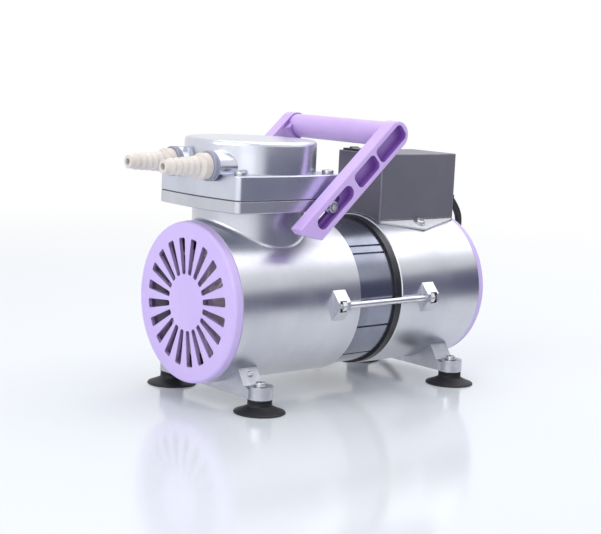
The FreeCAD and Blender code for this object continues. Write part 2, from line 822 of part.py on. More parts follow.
def make_bracket(x_foot):
    """Cross bracket under the casing, with a boss over each rubber foot."""
    x0 = x_foot + bracket_shift - bracket_width / 2
    x1 = x_foot + bracket_shift + bracket_width / 2
    shoulder = foot_offset - bracket_shoulder
    top = shoulder - bracket_lean
    z_end = axis_height - math.sqrt(casing_radius ** 2 - top ** 2)
    half = [(foot_offset, bracket_bottom), (foot_offset, foot_boss_top - 1.5),
            (shoulder, foot_boss_top), (top, z_end + 1.0)]
    outline = half + [(-y, z) for y, z in reversed(half)]
    body = prism_x(outline, x0, x1)
    for side in SIDES:
        body = body.fuse(rod_z(foot_boss_radius, foot_boss_bottom, foot_boss_top, x_foot, side * foot_offset))
    body = body.cut(rod_x(casing_radius, x0, x1))
    for side in SIDES:
        body = body.cut(rod_z(foot_screw_hole, foot_boss_bottom, foot_boss_top, x_foot, side * foot_offset))
    return body


def make_rubber_foot(x, side):
    """Suction foot: a neck under the bracket's boss and a thin skirt on the floor."""
    profile = [
        (0, cup_hollow_height), (cup_hollow_radius * 0.6, cup_hollow_height * 0.75), (cup_hollow_radius, 0),
        (cup_radius, 0), (cup_radius, cup_rim), (cup_skirt_radius, cup_neck_base),
        (cup_neck_radius, cup_neck_base + 1.0), (cup_neck_radius, foot_boss_bottom), (0, foot_boss_bottom),
    ]
    stud = rod_z(foot_screw_hole - running_gap, foot_boss_bottom - 1, foot_boss_top - 1.2, x, side * foot_offset)
    return lathe_z(profile, x, side * foot_offset).fuse(stud)


def make_box_cover():
    """Folded sheet cover of the terminal box. Its ends follow the barrel, its sides stop at the tabs."""
    turn = math.radians(tab_angle)
    tab_outside = casing_radius + tab_gap + tab_thickness
    box_side_bottom = axis_height + tab_gap + (
        tab_outside - (box_half_width - sheet) * math.cos(turn)) / math.sin(turn)
    outer = block(x_box, x_box_rear, -box_half_width, box_half_width, axis_height, box_height)
    outer = outer.makeFillet(0.8, edges_along(outer, Z_DIR))
    outer = round_edges_at(outer, 0.7, "z", box_height)
    inner = block(x_box + sheet, x_box_rear - sheet, -box_half_width + sheet, box_half_width - sheet,
                  axis_height, box_height - sheet)
    body = outer.cut(inner)
    body = body.cut(rod_x(casing_radius + saddle_gap, x_box - 1, x_box_rear + 1))
    for side in SIDES:
        below = block(x_box + sheet, x_box_rear - sheet, -sheet - 0.5, 0.5, axis_height, box_side_bottom)
        body = body.cut(below.translated(V(0, side * box_half_width + (0 if side > 0 else sheet), 0)))
    body = body.cut(block(x_box - 1, x_box_rear + 1, -box_half_width - 1, box_half_width + 1,
                          axis_height - 1, axis_height + casing_radius * 0.85))
    frame_x = switch_width / 2 - switch_bezel_wall
    frame_y = switch_length / 2 - switch_bezel_wall
    body = body.cut(block(switch_x - frame_x, switch_x + frame_x, switch_y - frame_y, switch_y + frame_y,
                          box_height - sheet - 1, box_height + 1))
    return body.cut(rod_x(gland_radius, x_box_rear - sheet - 1, x_box_rear + 1, 0, z_gland))


def make_box_base():
    """Sheet under the box. On each side a V-shaped tab leans out and lies on the barrel."""
    web_bottom = axis_height + casing_radius + base_web_gap
    inside = box_half_width - sheet - saddle_gap
    x0 = x_box + sheet + saddle_gap
    x1 = x_box_rear - sheet - saddle_gap
    web = block(x0, x1, -inside, inside, web_bottom, web_bottom + sheet)
    body = web
    turn = math.radians(tab_angle)
    touch = V(0, casing_radius * math.cos(turn), axis_height + casing_radius * math.sin(turn))
    slope_dir = V(0, math.sin(turn), -math.cos(turn))
    normal = V(0, math.cos(turn), math.sin(turn))
    start = (inside - sheet - touch.y) / slope_dir.y
    middle_x = (x0 + x1) / 2
    lift = normal * tab_gap
    corners = [(x0, start), (x1, start), (x1, start + 2.6), (middle_x, tab_reach), (x0, start + 2.6)]
    points = [V(x, touch.y, touch.z) + slope_dir * s + lift for x, s in corners]
    tab = flat_face(points).extrude(normal * tab_thickness)
    leg_bottom = (touch + slope_dir * start + lift).z
    leg = block(x0, x1, inside - sheet, inside, leg_bottom, web_bottom + sheet)
    side_piece = tab.fuse(leg)
    return body.fuse([side_piece, mirrored(side_piece)])


def make_capacitor():
    """Round motor capacitor lying on the base sheet inside the box."""
    z = axis_height + casing_radius + base_web_gap + sheet + capacitor_radius
    x0 = (x_box + x_box_rear - capacitor_length) / 2
    can = rod_x(capacitor_radius, x0, x0 + capacitor_length, 0, z)
    return can.makeChamfer(1.2, [edge for edge in can.Edges if edge.BoundBox.XLength < 0.01])


def make_switch_frame():
    """Bezel of the rocker switch and its body below the sheet."""
    half_x = switch_width / 2
    half_y = switch_length / 2
    wall = switch_bezel_wall
    bezel = block(switch_x - half_x, switch_x + half_x, switch_y - half_y, switch_y + half_y,
                  box_height, box_height + switch_bezel)
    bezel = round_edges_at(bezel, 0.6, "z", box_height + switch_bezel)
    gap = fit_gap
    body = block(switch_x - half_x + wall + gap, switch_x + half_x - wall - gap,
                 switch_y - half_y + wall + gap, switch_y + half_y - wall - gap,
                 box_height - switch_body_depth, box_height)
    well = block(switch_x - half_x + 2 * wall, switch_x + half_x - 2 * wall,
                 switch_y - half_y + 2 * wall, switch_y + half_y - 2 * wall,
                 box_height - switch_body_depth * 0.5, box_height + switch_bezel)
    return bezel.fuse(body).cut(well)


def make_rocker():
    """Rocker paddle, tilted to its off side about a pin across the bezel."""
    half_x = switch_width / 2 - 2 * switch_bezel_wall - rocker_gap
    half_y = switch_length / 2 - 2 * switch_bezel_wall - rocker_gap - 0.4
    top = box_height + switch_bezel + rocker_rise
    profile = [
        (-half_y, top - 2.0), (-half_y * 0.5, top - 2.6), (0, top - 2.9), (half_y * 0.5, top - 2.6),
        (half_y, top - 2.0), (half_y, box_height - 1.0), (half_y * 0.5, box_height - 4.2),
        (-half_y * 0.5, box_height - 4.2), (-half_y, box_height - 1.0),
    ]
    paddle = prism_x([(switch_y + y, z) for y, z in profile], switch_x - half_x, switch_x + half_x)
    paddle.rotate(V(switch_x, switch_y, box_height - 1.0), X_DIR, rocker_swing)
    return paddle


def slot_between(u0, u1, half_width, y0, y1):
    """Slot with round ends along the handle's arm, centred on the arm's middle line."""
    a = u0 + half_width
    b = u1 - half_width
    body = block(a, b, y0, y1, -half_width, half_width)
    return body.fuse([rod_y(half_width, y0, y1, a, 0), rod_y(half_width, y0, y1, b, 0)])


def make_handle():
    """Moulded bail. It is drawn along X from the bolt as origin, then tilted and moved into place."""
    half = handle_half_width
    y0 = handle_inner
    y1 = handle_inner + handle_arm
    tail = prism_y([
        (-handle_tail, half), (-handle_tail, half - handle_tail_step),
        (-handle_tail + handle_tail_slant, -half), (handle_grip_distance, -half), (handle_grip_distance, half),
    ], y0, y1)
    arm = tail.fuse(rod_y(half, y0, y1, handle_grip_distance, 0)).removeSplitter()
    arm = round_edges_at(arm, 1.2, "y", y1)
    y_floor = y1 - handle_pocket_depth
    pocket_half = half - handle_rim
    for u0, u1 in handle_pockets:
        pocket = block(u0, u1, y_floor, y1 + 1, -pocket_half, pocket_half)
        pocket = pocket.makeFillet(pocket_half * 0.6, edges_along(pocket, Y_DIR))
        arm = arm.cut(pocket)
    arm = arm.cut(slot_between(handle_slot_pocket[0], handle_slot_pocket[1], handle_slot_pocket_half,
                               y_floor, y1 + 1))
    arm = arm.cut(slot_between(-handle_slot_below - bolt_radius, handle_slot_above + bolt_radius,
                               bolt_radius + handle_slot_gap, y0 - 1, y_floor + 1))
    grip = rod_y(half - grip_flat, -y0, y0, handle_grip_distance, 0)
    bail = arm.fuse([mirrored(arm), grip])
    corner = block(handle_grip_distance - half - grip_fillet, handle_grip_distance - 2,
                   y0 - grip_fillet, y0, -half + 3, half - 3)
    corner = corner.cut(rod_z(grip_fillet, -half, half, handle_grip_distance - half - grip_fillet,
                              y0 - grip_fillet))
    bail = bail.fuse([corner, mirrored(corner)])
    bail.rotate(V(0, 0, 0), Y_DIR, -handle_angle)
    return bail.translated(V(handle_bolt_x, 0, z_bolt))


def make_handle_bolt(side):
    """Shoulder bolt: spacer against the flange, shank through the slot, washer and socket head."""
    y_slot_floor = handle_inner + handle_arm - handle_pocket_depth
    y_flange = plate_half + seat_gap
    spacer = rod_y(spacer_radius, y_flange, handle_inner - seat_gap / 2, handle_bolt_x, z_bolt)
    shank = rod_y(bolt_radius, handle_inner - bolt_grip + 1, y_slot_floor + 1, handle_bolt_x, z_bolt)
    y_washer = y_slot_floor + seat_gap / 2
    washer = rod_y(washer_radius, y_washer, y_washer + washer_thickness, handle_bolt_x, z_bolt)
    y_head = y_washer + washer_thickness
    head = rod_y(bolt_head_radius, y_head, y_head + bolt_head_height, handle_bolt_x, z_bolt)
    head = round_edges_at(head, 0.7, "y", y_head + bolt_head_height)
    socket = []
    for i in range(6):
        turn = math.radians(60 * i)
        socket.append((handle_bolt_x + bolt_hex * math.cos(turn), z_bolt + bolt_hex * math.sin(turn)))
    head = head.cut(prism_y(socket, y_head + 1.4, y_head + bolt_head_height + 1))
    bolt = spacer.fuse([shank, washer, head])
    return bolt if side > 0 else mirrored(bolt)


def cord_path(points):
    """Straight runs joined by tangent arcs, each as large as its two runs allow."""
    edges = []
    radii = []
    start = V(*points[0])
    for i in range(1, len(points) - 1):
        corner = V(*points[i])
        before = V(*points[i - 1]) - corner
        after = V(*points[i + 1]) - corner
        turn = math.pi - before.getAngle(after)
        reach = 0.45 * min(before.Length, after.Length)
        radius = reach / math.tan(turn / 2)
        radii.append(round(radius, 1))
        a = before.normalize()
        b = after.normalize()
        entry = corner + a * reach
        leave = corner + b * reach
        middle = corner + (a + b).normalize() * (radius / math.cos(turn / 2) - radius)
        edges.append(Part.LineSegment(start, entry).toShape())
        edges.append(Part.Arc(entry, middle, leave).toShape())
        start = leave
    edges.append(Part.LineSegment(start, V(*points[-1])).toShape())
    return Part.Wire(edges), radii


def make_cord():
    path, radii = cord_path([(x_box_rear + x, y, z) for x, y, z in cord_route])
    first = path.Vertexes[0].Point
    along = V(*cord_route[1]) - V(*cord_route[0])
    section = Part.Wire(Part.makeCircle(cord_radius, first, along))
    tube = path.makePipeShell([section], True, False)
    expected = math.pi * cord_radius ** 2 * path.Length
    print("cord radii", radii, "length", round(path.Length, 1),
          "volume ratio", round(tube.Volume / expected, 4))
    return tube


def make_coil():
    """Outer shape of the coiled cord, a closed ring on the floor with both ends leading out of it."""
    x = x_box_rear + coil_center[0]
    y = coil_center[1]
    ring = rod_z(coil_outer, floor_gap, z_coil_top, x, y)
    ring = ring.cut(rod_z(coil_inner, floor_gap, z_coil_top, x, y))
    ring = ring.makeChamfer(cord_radius * 0.6, [edge for edge in ring.Edges if edge.BoundBox.ZLength < 0.01])
    turn = coil_outer - cord_radius
    entry = rod_x(cord_radius, x, x + coil_stub, y - turn, floor_gap + cord_radius)
    leaving = rod_x(cord_radius, x, x + coil_stub, y + turn, z_coil_top - cord_radius)
    return ring.fuse([entry, leaving])


def plug_place():
    """Middle of the plug on the floor, where the coil's upper end runs straight into its neck."""
    x = x_box_rear + coil_center[0] + coil_stub + plug_neck_length + plug_radius - 2.0
    return x, coil_center[1] + coil_outer - cord_radius


def make_plug_body():
    """Round angled plug lying on its back, with the neck on the side."""
    x, y = plug_place()
    top = floor_gap + plug_height
    body = rod_z(plug_radius, floor_gap, top, x, y)
    body = body.makeChamfer(1.8, [edge for edge in body.Edges if edge.BoundBox.ZLength < 0.01])
    x_neck = x_box_rear + coil_center[0] + coil_stub
    neck = Part.makeCone(relief_tip_radius, plug_neck_radius, plug_neck_length,
                         V(x_neck, y, z_coil_top - cord_radius), X_DIR)
    root = rod_x(plug_neck_radius, x_neck + plug_neck_length, x, y, z_coil_top - cord_radius)
    body = body.fuse([neck, root])
    return body.cut(rod_z(plug_insert_radius, top - plug_insert_depth, top, x, y))


def make_plug_pins():
    """Flat insert with both pins, standing up because the plug lies on its back."""
    x, y = plug_place()
    top = floor_gap + plug_height
    body = rod_z(plug_insert_radius, top - plug_insert_depth, top - 0.4, x, y)
    for side in SIDES:
        pin = rod_z(plug_pin_radius, top - 1.0, top + plug_pin_length, x, y + side * plug_pin_spacing / 2)
        body = body.fuse(round_edges_at(pin, 1.2, "z", top + plug_pin_length))
    return body


def make_gland():
    """Nut against the box and the bent, tapering relief that the cord leaves downwards."""
    x_inside = x_box_rear - sheet - 3
    body = rod_x(gland_radius - fit_gap, x_inside, x_relief, 0, z_gland)
    nut = rod_x(gland_nut_radius, x_box_rear + saddle_gap / 2, x_box_rear + gland_nut_length, 0, z_gland)
    center = V(x_relief, 0, z_gland - relief_bend)
    half = relief_turn / 2
    middle = center + V(math.sin(half), 0, math.cos(half)) * relief_bend
    end = V(*cord_route[0]) + V(x_box_rear, 0, 0)
    start = V(x_relief, 0, z_gland)
    path = Part.Wire([Part.Arc(start, middle, end).toShape()])
    base = Part.Wire(Part.makeCircle(relief_base_radius, start, X_DIR))
    tip = Part.Wire(Part.makeCircle(relief_tip_radius, end, V(*cord_route[1]) - V(*cord_route[0])))
    relief = path.makePipeShell([base, tip], True, False)
    return body.fuse([nut, relief])


def build():
    os.makedirs("parts", exist_ok=True)
    save("front_cover", cover(0.0, 1))
    save("rear_cover", cover(x_end, -1))
    save("front_casing", make_front_casing())
    save("rear_casing", make_rear_casing())
    save("stator_core", make_stator_core())
    save("stator_band", make_band())
    save("winding_front", make_winding(x_stator - spigot_length - winding_length))
    save("winding_rear", make_winding(x_rear_casing + spigot_length))
    save("front_shield", make_shield(x_shield_front))
    save("rear_shield", make_shield(x_shield_rear))
    save("front_bearing", make_bearing_outer(x_shield_front))
    save("rear_bearing", make_bearing_outer(x_shield_rear))
    save("shaft", make_shaft())
    save("rotor_core", make_rotor_core())
    save("eccentric", make_eccentric())
    save("front_fan", make_fan(front_fan_start, -1))
    save("rear_fan", make_fan(x_rear_fan, 1))
    save("connecting_rod", make_connecting_rod())
    save("rod_bearing", make_rod_bearing())
    save("clamp_disc", make_clamp_disc())
    save("diaphragm", make_diaphragm())
    save("head_plate", make_head_plate())
    save("head_cap", make_head_cap())
    save("inlet_valve", make_valve(-valve_offset, z_inlet_seat - valve_thickness))
    save("outlet_valve", make_valve(valve_offset, z_outlet_seat))
    for number, (x, y) in enumerate(head_screw_places(), 1):
        save("head_screw_" + str(number), make_head_screw(x, y))
    for name, side in (("inlet", -1), ("outlet", 1)):
        save(name + "_collar", make_collar(side))
        save(name + "_barb", make_barb(side))
    for name, side in (("right", -1), ("left", 1)):
        save("tie_rod_" + name, make_tie_rod(side))
        save("front_nut_" + name, make_nut(side, lug_front + lug_width - lug_end_wall - nut_height))
        save("rear_nut_" + name, make_nut(side, lug_rear + lug_end_wall))
        save("handle_bolt_" + name, make_handle_bolt(side))
        save("front_foot_" + name, make_rubber_foot(foot_front, side))
        save("rear_foot_" + name, make_rubber_foot(foot_rear, side))
    save("front_bracket", make_bracket(foot_front))
    save("rear_bracket", make_bracket(foot_rear))
    save("box_base", make_box_base())
    save("box_cover", make_box_cover())
    save("capacitor", make_capacitor())
    save("switch_frame", make_switch_frame())
    save("switch_rocker", make_rocker())
    save("handle", make_handle())
    save("cord_gland", make_gland())
    save("power_cord", make_cord())
    save("cord_coil", make_coil())
    save("plug_body", make_plug_body())
    save("plug_pins", make_plug_pins())


build()
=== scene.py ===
import math
import bmesh
import bpy
from mathutils import Matrix, Vector


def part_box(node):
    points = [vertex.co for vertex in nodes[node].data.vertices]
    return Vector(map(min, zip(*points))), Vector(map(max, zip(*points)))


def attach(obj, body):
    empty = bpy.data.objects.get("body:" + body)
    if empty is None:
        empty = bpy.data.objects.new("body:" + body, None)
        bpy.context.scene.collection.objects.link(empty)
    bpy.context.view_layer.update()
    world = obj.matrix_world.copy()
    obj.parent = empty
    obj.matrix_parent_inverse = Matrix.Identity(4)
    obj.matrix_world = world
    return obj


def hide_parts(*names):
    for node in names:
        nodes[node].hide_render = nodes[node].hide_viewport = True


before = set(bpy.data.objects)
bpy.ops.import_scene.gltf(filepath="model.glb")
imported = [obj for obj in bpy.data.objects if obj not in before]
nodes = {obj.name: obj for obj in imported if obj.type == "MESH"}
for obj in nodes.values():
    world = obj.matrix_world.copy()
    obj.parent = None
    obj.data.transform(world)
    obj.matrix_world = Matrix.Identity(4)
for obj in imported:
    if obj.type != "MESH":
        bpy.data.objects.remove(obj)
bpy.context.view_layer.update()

print("pump frame loaded:", len(nodes), "nodes")


# camera at the photograph's viewing angle

photoView = {
    "azimuth": -40.73,
    "elevation": 8.07,
    "roll": 2.62,
    "lens": 86.86,
    "sensor": 36,
    "farEnd": 50,
    "place": (-0.7343, -0.8538, 0.2547),
}


def makeCamera(look):
    turn = math.radians(-look["azimuth"])
    rise = math.radians(look["elevation"])
    roll = math.radians(look["roll"])
    ahead = Vector((math.sin(turn) * math.cos(rise), math.cos(turn) * math.cos(rise), -math.sin(rise)))
    level = ahead.cross(Vector((0, 0, 1))).normalized()
    upright = level.cross(ahead)
    right = level * math.cos(roll) + upright * math.sin(roll)
    up = upright * math.cos(roll) - level * math.sin(roll)
    camera = bpy.data.objects.new("photoCamera", bpy.data.cameras.new("photoCamera"))
    bpy.context.collection.objects.link(camera)
    turned = Matrix((right, up, -ahead)).transposed().to_4x4()
    camera.matrix_world = Matrix.Translation(look["place"]) @ turned
    camera.data.lens = look["lens"]
    camera.data.sensor_width = look["sensor"]
    camera.data.clip_end = look["farEnd"]
    bpy.context.scene.camera = camera


makeCamera(photoView)


# mains lead: one smooth curve from the relief down to the floor, a put-away coil, then the plug

lead = {
    "radius": 0.003,
    "length": 1.409,
    "route": [
        (0.1657, 0.0, 0.1449), (0.1746, 0.0, 0.1358), (0.181, 0.0026, 0.124), (0.1836, 0.008, 0.1095),
        (0.1838, 0.0156, 0.093), (0.1824, 0.0246, 0.0755), (0.1804, 0.0354, 0.0575), (0.1782, 0.0476, 0.0405),
        (0.1754, 0.0602, 0.025), (0.1698, 0.0722, 0.0132), (0.16, 0.0814, 0.0062), (0.1458, 0.087, 0.0031),
        (0.1308, 0.087, 0.0031), (0.1188, 0.087, 0.0031),
    ],
    "coilCentre": (0.1068, 0.126),
    "coilTurns": [  # turns from the start, radius, height
        (0.0, 0.039, 0.0031), (0.5, 0.039, 0.0031), (1.0, 0.033, 0.0031), (1.5, 0.033, 0.0031),
        (2.0, 0.027, 0.0031), (2.25, 0.027, 0.0031), (2.75, 0.027, 0.0091), (3.05, 0.027, 0.0091),
        (3.55, 0.033, 0.0091), (4.05, 0.033, 0.0091), (4.55, 0.039, 0.0091), (5.5, 0.039, 0.0091),
    ],
    "pointsPerTurn": 16,
    "sectionSteps": 5,
    "curveSteps": 6,
    "tail": [(0.1188, 0.165, 0.0091), (0.1308, 0.165, 0.0091)],
}


# radius and height of the lead at this many turns into the coil
def coilPlace(turn):
    stops = lead["coilTurns"]
    for before, after in zip(stops, stops[1:]):
        if turn <= after[0]:
            share = (turn - before[0]) / (after[0] - before[0])
            return before[1] + (after[1] - before[1]) * share, before[2] + (after[2] - before[2]) * share


def leadPoints():
    points = list(lead["route"])
    perTurn = lead["pointsPerTurn"]
    widen = 1 / math.cos(math.pi / perTurn)  # the spline runs inside its control points
    for step in range(int(lead["coilTurns"][-1][0] * perTurn) + 1):
        radius, height = coilPlace(step / perTurn)
        angle = -math.pi / 2 - 2 * math.pi * step / perTurn
        points.append((lead["coilCentre"][0] + radius * widen * math.cos(angle),
                       lead["coilCentre"][1] + radius * widen * math.sin(angle), height))
    return points + lead["tail"]


def makeLead():
    curve = bpy.data.curves.new("mainsLead", "CURVE")
    curve.dimensions = "3D"
    curve.bevel_depth = lead["radius"]
    curve.bevel_resolution = lead["sectionSteps"]
    curve.resolution_u = lead["curveSteps"]
    curve.use_fill_caps = True
    spline = curve.splines.new("NURBS")
    points = leadPoints()
    spline.points.add(len(points) - 1)
    for spot, place in zip(spline.points, points):
        spot.co = (*place, 1)
    spline.order_u = 3
    spline.use_endpoint_u = True
    piece = bpy.data.objects.new("mainsLead", curve)
    bpy.context.collection.objects.link(piece)
    return piece


mainsLead = makeLead()
print("camera and mains lead in place")


# modelling helpers

modelling = {
    "weld": 0.000002,  # points closer than this become one
    "startSize": 0.001,  # plane that a spun outline starts from
    "facing": 0.9,  # a face looks along an axis from this share of its normal on
    "near": 0.00001,  # slack in height where edges are picked by their place
}


def clearSelection():
    if bpy.context.object and bpy.context.object.mode != "OBJECT":
        bpy.ops.object.mode_set(mode="OBJECT")
    bpy.ops.object.select_all(action="DESELECT")


def enterEdit():
    bpy.ops.object.mode_set(mode="EDIT")


def leaveEdit():
    bpy.ops.object.mode_set(mode="OBJECT")


def nameActive(name):
    piece = bpy.context.active_object
    piece.name = name
    piece.data.name = name
    return piece


# make this the only selected object
def takeUp(piece):
    clearSelection()
    piece.select_set(True)
    bpy.context.view_layer.objects.active = piece


# in edit mode, select the faces whose centre and normal are wanted
def pickFaces(piece, wanted):
    bpy.ops.mesh.select_mode(type="FACE")
    bpy.ops.mesh.select_all(action="DESELECT")
    shell = bmesh.from_edit_mesh(piece.data)
    for face in shell.faces:
        if wanted(face.calc_center_median(), face.normal):
            face.select_set(True)
    bmesh.update_edit_mesh(piece.data)


# in edit mode, select the edges whose two ends are wanted
def pickEdges(piece, wanted):
    bpy.ops.mesh.select_mode(type="EDGE")
    bpy.ops.mesh.select_all(action="DESELECT")
    shell = bmesh.from_edit_mesh(piece.data)
    for edge in shell.edges:
        if wanted(edge.verts[0].co, edge.verts[1].co):
            edge.select_set(True)
    bmesh.update_edit_mesh(piece.data)


# in edit mode, weld doubles and turn every face outwards, then leave edit mode
def closeShell():
    bpy.ops.mesh.select_all(action="SELECT")
    bpy.ops.mesh.remove_doubles(threshold=modelling["weld"])
    bpy.ops.mesh.normals_make_consistent(inside=False)
    leaveEdit()


def withModifier(piece, kind, **settings):
    takeUp(piece)
    bpy.ops.object.modifier_add(type=kind)
    modifier = piece.modifiers[-1]
    for setting, value in settings.items():
        setattr(modifier, setting, value)
    bpy.ops.object.modifier_apply(modifier=modifier.name)


def softenEdges(piece, width, segments=2, angle=35):
    withModifier(piece, "BEVEL", width=width, segments=segments, limit_method="ANGLE",
                 angle_limit=math.radians(angle), use_clamp_overlap=True)


# turn a (radius, height) outline about the Z axis: a plane is shrunk to one corner and drawn out
def spinOutline(name, outline, steps=48):
    clearSelection()
    bpy.ops.mesh.primitive_plane_add(size=modelling["startSize"])
    piece = nameActive(name)
    enterEdit()
    bpy.ops.mesh.select_mode(type="VERT")
    bpy.ops.mesh.select_all(action="SELECT")
    bpy.ops.mesh.merge(type="CENTER")
    bpy.ops.transform.translate(value=(outline[0][0], 0, outline[0][1]))
    for (r0, z0), (r1, z1) in zip(outline, outline[1:]):
        bpy.ops.mesh.extrude_vertices_move(TRANSFORM_OT_translate={"value": (r1 - r0, 0, z1 - z0)})
    bpy.ops.mesh.select_all(action="SELECT")
    bpy.ops.mesh.spin(steps=steps, angle=2 * math.pi, center=(0, 0, 0), axis=(0, 0, 1))
    closeShell()
    return piece


# cylinder that stands on this height, with its place in its mesh
def standCylinder(name, sides, radius, height, foot=0.0):
    clearSelection()
    bpy.ops.mesh.primitive_cylinder_add(vertices=sides, radius=radius, depth=height,
                                        location=(0, 0, foot + height / 2))
    piece = nameActive(name)
    bpy.ops.object.transform_apply(location=True)
    return piece


# matrix that stands a piece, modelled along +Z, along a direction at a place
def towards(direction, place):
    turn = Vector((0, 0, 1)).rotation_difference(Vector(direction).normalized())
    return Matrix.Translation(place) @ turn.to_matrix().to_4x4()


def placeCopy(source, name, matrix):
    copy = source.copy()
    copy.data = source.data.copy()
    copy.name = name
    copy.data.name = name
    copy.data.transform(matrix)
    bpy.context.collection.objects.link(copy)
    return copy


def discard(piece):
    bpy.data.objects.remove(piece)


# smooth the piece, give it its finish and let it ride on its body
def dress(piece, body, finish, angle=32):
    if piece.type == "MESH":
        takeUp(piece)
        bpy.ops.object.shade_smooth_by_angle(angle=math.radians(angle))
    piece.data.materials.clear()
    piece.data.materials.append(finishes[finish])
    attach(piece, body)


def middleOf(node):
    low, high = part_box(node)
    return (low + high) / 2


def camelName(node):
    first, *others = node.split("_")
    return first + "".join(word.title() for word in others)


# copy of a pattern that stands for a node and is named after it
def standFor(pattern, node, matrix, finish, angle=32):
    piece = placeCopy(pattern, camelName(node), matrix)
    dress(piece, "pump", finish, angle)
    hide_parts(node)


# shader groups

# node group with these inputs, a number or a vector each, and one number as its output
def newGroup(name, inputs, output):
    group = bpy.data.node_groups.new(name, "ShaderNodeTree")
    for label, value in inputs.items():
        kind = "NodeSocketVector" if isinstance(value, tuple) else "NodeSocketFloat"
        socket = group.interface.new_socket(name=label, in_out="INPUT", socket_type=kind)
        socket.default_value = value
    group.interface.new_socket(name=output, in_out="OUTPUT", socket_type="NodeSocketFloat")
    return group, group.nodes.new("NodeGroupInput"), group.nodes.new("NodeGroupOutput")


def addNode(tree, kind, settings=None, values=None):
    node = tree.nodes.new("ShaderNode" + kind)
    for setting, value in (settings or {}).items():
        setattr(node, setting, value)
    for socket, value in (values or {}).items():
        node.inputs[socket].default_value = value
    return node


# spreads the values from low to high over foot to top
def spreadNode(tree, low, high, foot=0.0, top=1.0, smooth=False):
    return addNode(tree, "MapRange", {"interpolation_type": "SMOOTHSTEP" if smooth else "LINEAR"}, {
        "From Min": low, "From Max": high, "To Min": foot, "To Max": top})


def mathNode(tree, operation, values=None, clamp=False):
    return addNode(tree, "Math", {"operation": operation, "use_clamp": clamp}, values)


# links, each as source node, its output, target node and its input
def wire(tree, *links):
    for source, output, target, entry in links:
        tree.links.new(source.outputs[output], target.inputs[entry])


# emptied node tree of a new material or world, with its output
def emptyTree(owner, kind):
    owner.use_nodes = True
    owner.node_tree.nodes.clear()
    return owner.node_tree, addNode(owner.node_tree, kind)


# fine noise, drawn out along chosen directions by the stretch
def makeGrainGroup():
    group, start, end = newGroup("surfaceGrain", {
        "Scale": 400.0, "Stretch": (1, 1, 1), "Detail": 3.0}, "Height")
    spot = addNode(group, "TexCoord")
    lay = addNode(group, "Mapping")
    noise = addNode(group, "TexNoise", values={"Roughness": 0.55})
    wire(group, (spot, "Object", lay, "Vector"), (start, "Stretch", lay, "Scale"),
         (lay, "Vector", noise, "Vector"), (start, "Scale", noise, "Scale"),
         (start, "Detail", noise, "Detail"), (noise, "Fac", end, "Height"))
    return group


# broad patches, from 0 to 1, that shift colour and gloss over a surface
def makeMottleGroup():
    group, start, end = newGroup("broadMottle", {"Scale": 20.0, "Low": 0.35, "High": 0.65}, "Mask")
    spot = addNode(group, "TexCoord")
    noise = addNode(group, "TexNoise", values={"Detail": 5.0, "Roughness": 0.6, "Distortion": 0.4})
    spread = spreadNode(group, 0.0, 1.0, smooth=True)
    wire(group, (spot, "Object", noise, "Vector"), (start, "Scale", noise, "Scale"),
         (noise, "Fac", spread, "Value"), (start, "Low", spread, "From Min"),
         (start, "High", spread, "From Max"), (spread, "Result", end, "Mask"))
    return group


# mask of edges, lightened as wear and, on the box, as a painted highlight: where a normal averaged over a
# small radius leaves the surface's own
def makeEdgeGroup():
    group, start, end = newGroup("edgeWearAndHighlight", {"Radius": 0.0008, "Patch scale": 160.0}, "Mask")
    rounded = addNode(group, "Bevel", {"samples": 4})
    own = addNode(group, "NewGeometry")
    match = addNode(group, "VectorMath", {"operation": "DOT_PRODUCT"})
    ramp = spreadNode(group, 0.985, 0.80)
    spot = addNode(group, "TexCoord")
    noise = addNode(group, "TexNoise", values={"Detail": 4.0})
    patches = spreadNode(group, 0.35, 0.6)
    both = mathNode(group, "MULTIPLY", clamp=True)
    wire(group, (start, "Radius", rounded, "Radius"), (rounded, "Normal", match, 0),
         (own, "Normal", match, 1), (match, "Value", ramp, "Value"), (spot, "Object", noise, "Vector"),
         (start, "Patch scale", noise, "Scale"), (noise, "Fac", patches, "Value"),
         (ramp, "Result", both, 0), (patches, "Result", both, 1), (both, "Value", end, "Mask"))
    return group


# fine lines round the motor axis, as turning or polishing leaves them
def makeBarrelGroup():
    group, start, end = newGroup("barrelLines", {
        "Axis height": 0.0747, "Line scale": 900.0, "Break up": 1.2}, "Height")
    spot = addNode(group, "TexCoord")
    split = addNode(group, "SeparateXYZ")
    lower = mathNode(group, "SUBTRACT")
    angle = mathNode(group, "ARCTAN2")
    along = mathNode(group, "MULTIPLY")
    around = mathNode(group, "MULTIPLY")
    join = addNode(group, "CombineXYZ")
    noise = addNode(group, "TexNoise", values={"Scale": 1.0, "Detail": 3.0, "Roughness": 0.6})
    wire(group, (spot, "Object", split, "Vector"), (split, "Z", lower, 0),
         (start, "Axis height", lower, 1), (split, "Y", angle, 0), (lower, "Value", angle, 1),
         (split, "X", along, 0), (start, "Line scale", along, 1), (angle, "Value", around, 0),
         (start, "Break up", around, 1), (along, "Value", join, "X"), (around, "Value", join, "Y"),
         (join, "Vector", noise, "Vector"), (noise, "Fac", end, "Height"))
    return group


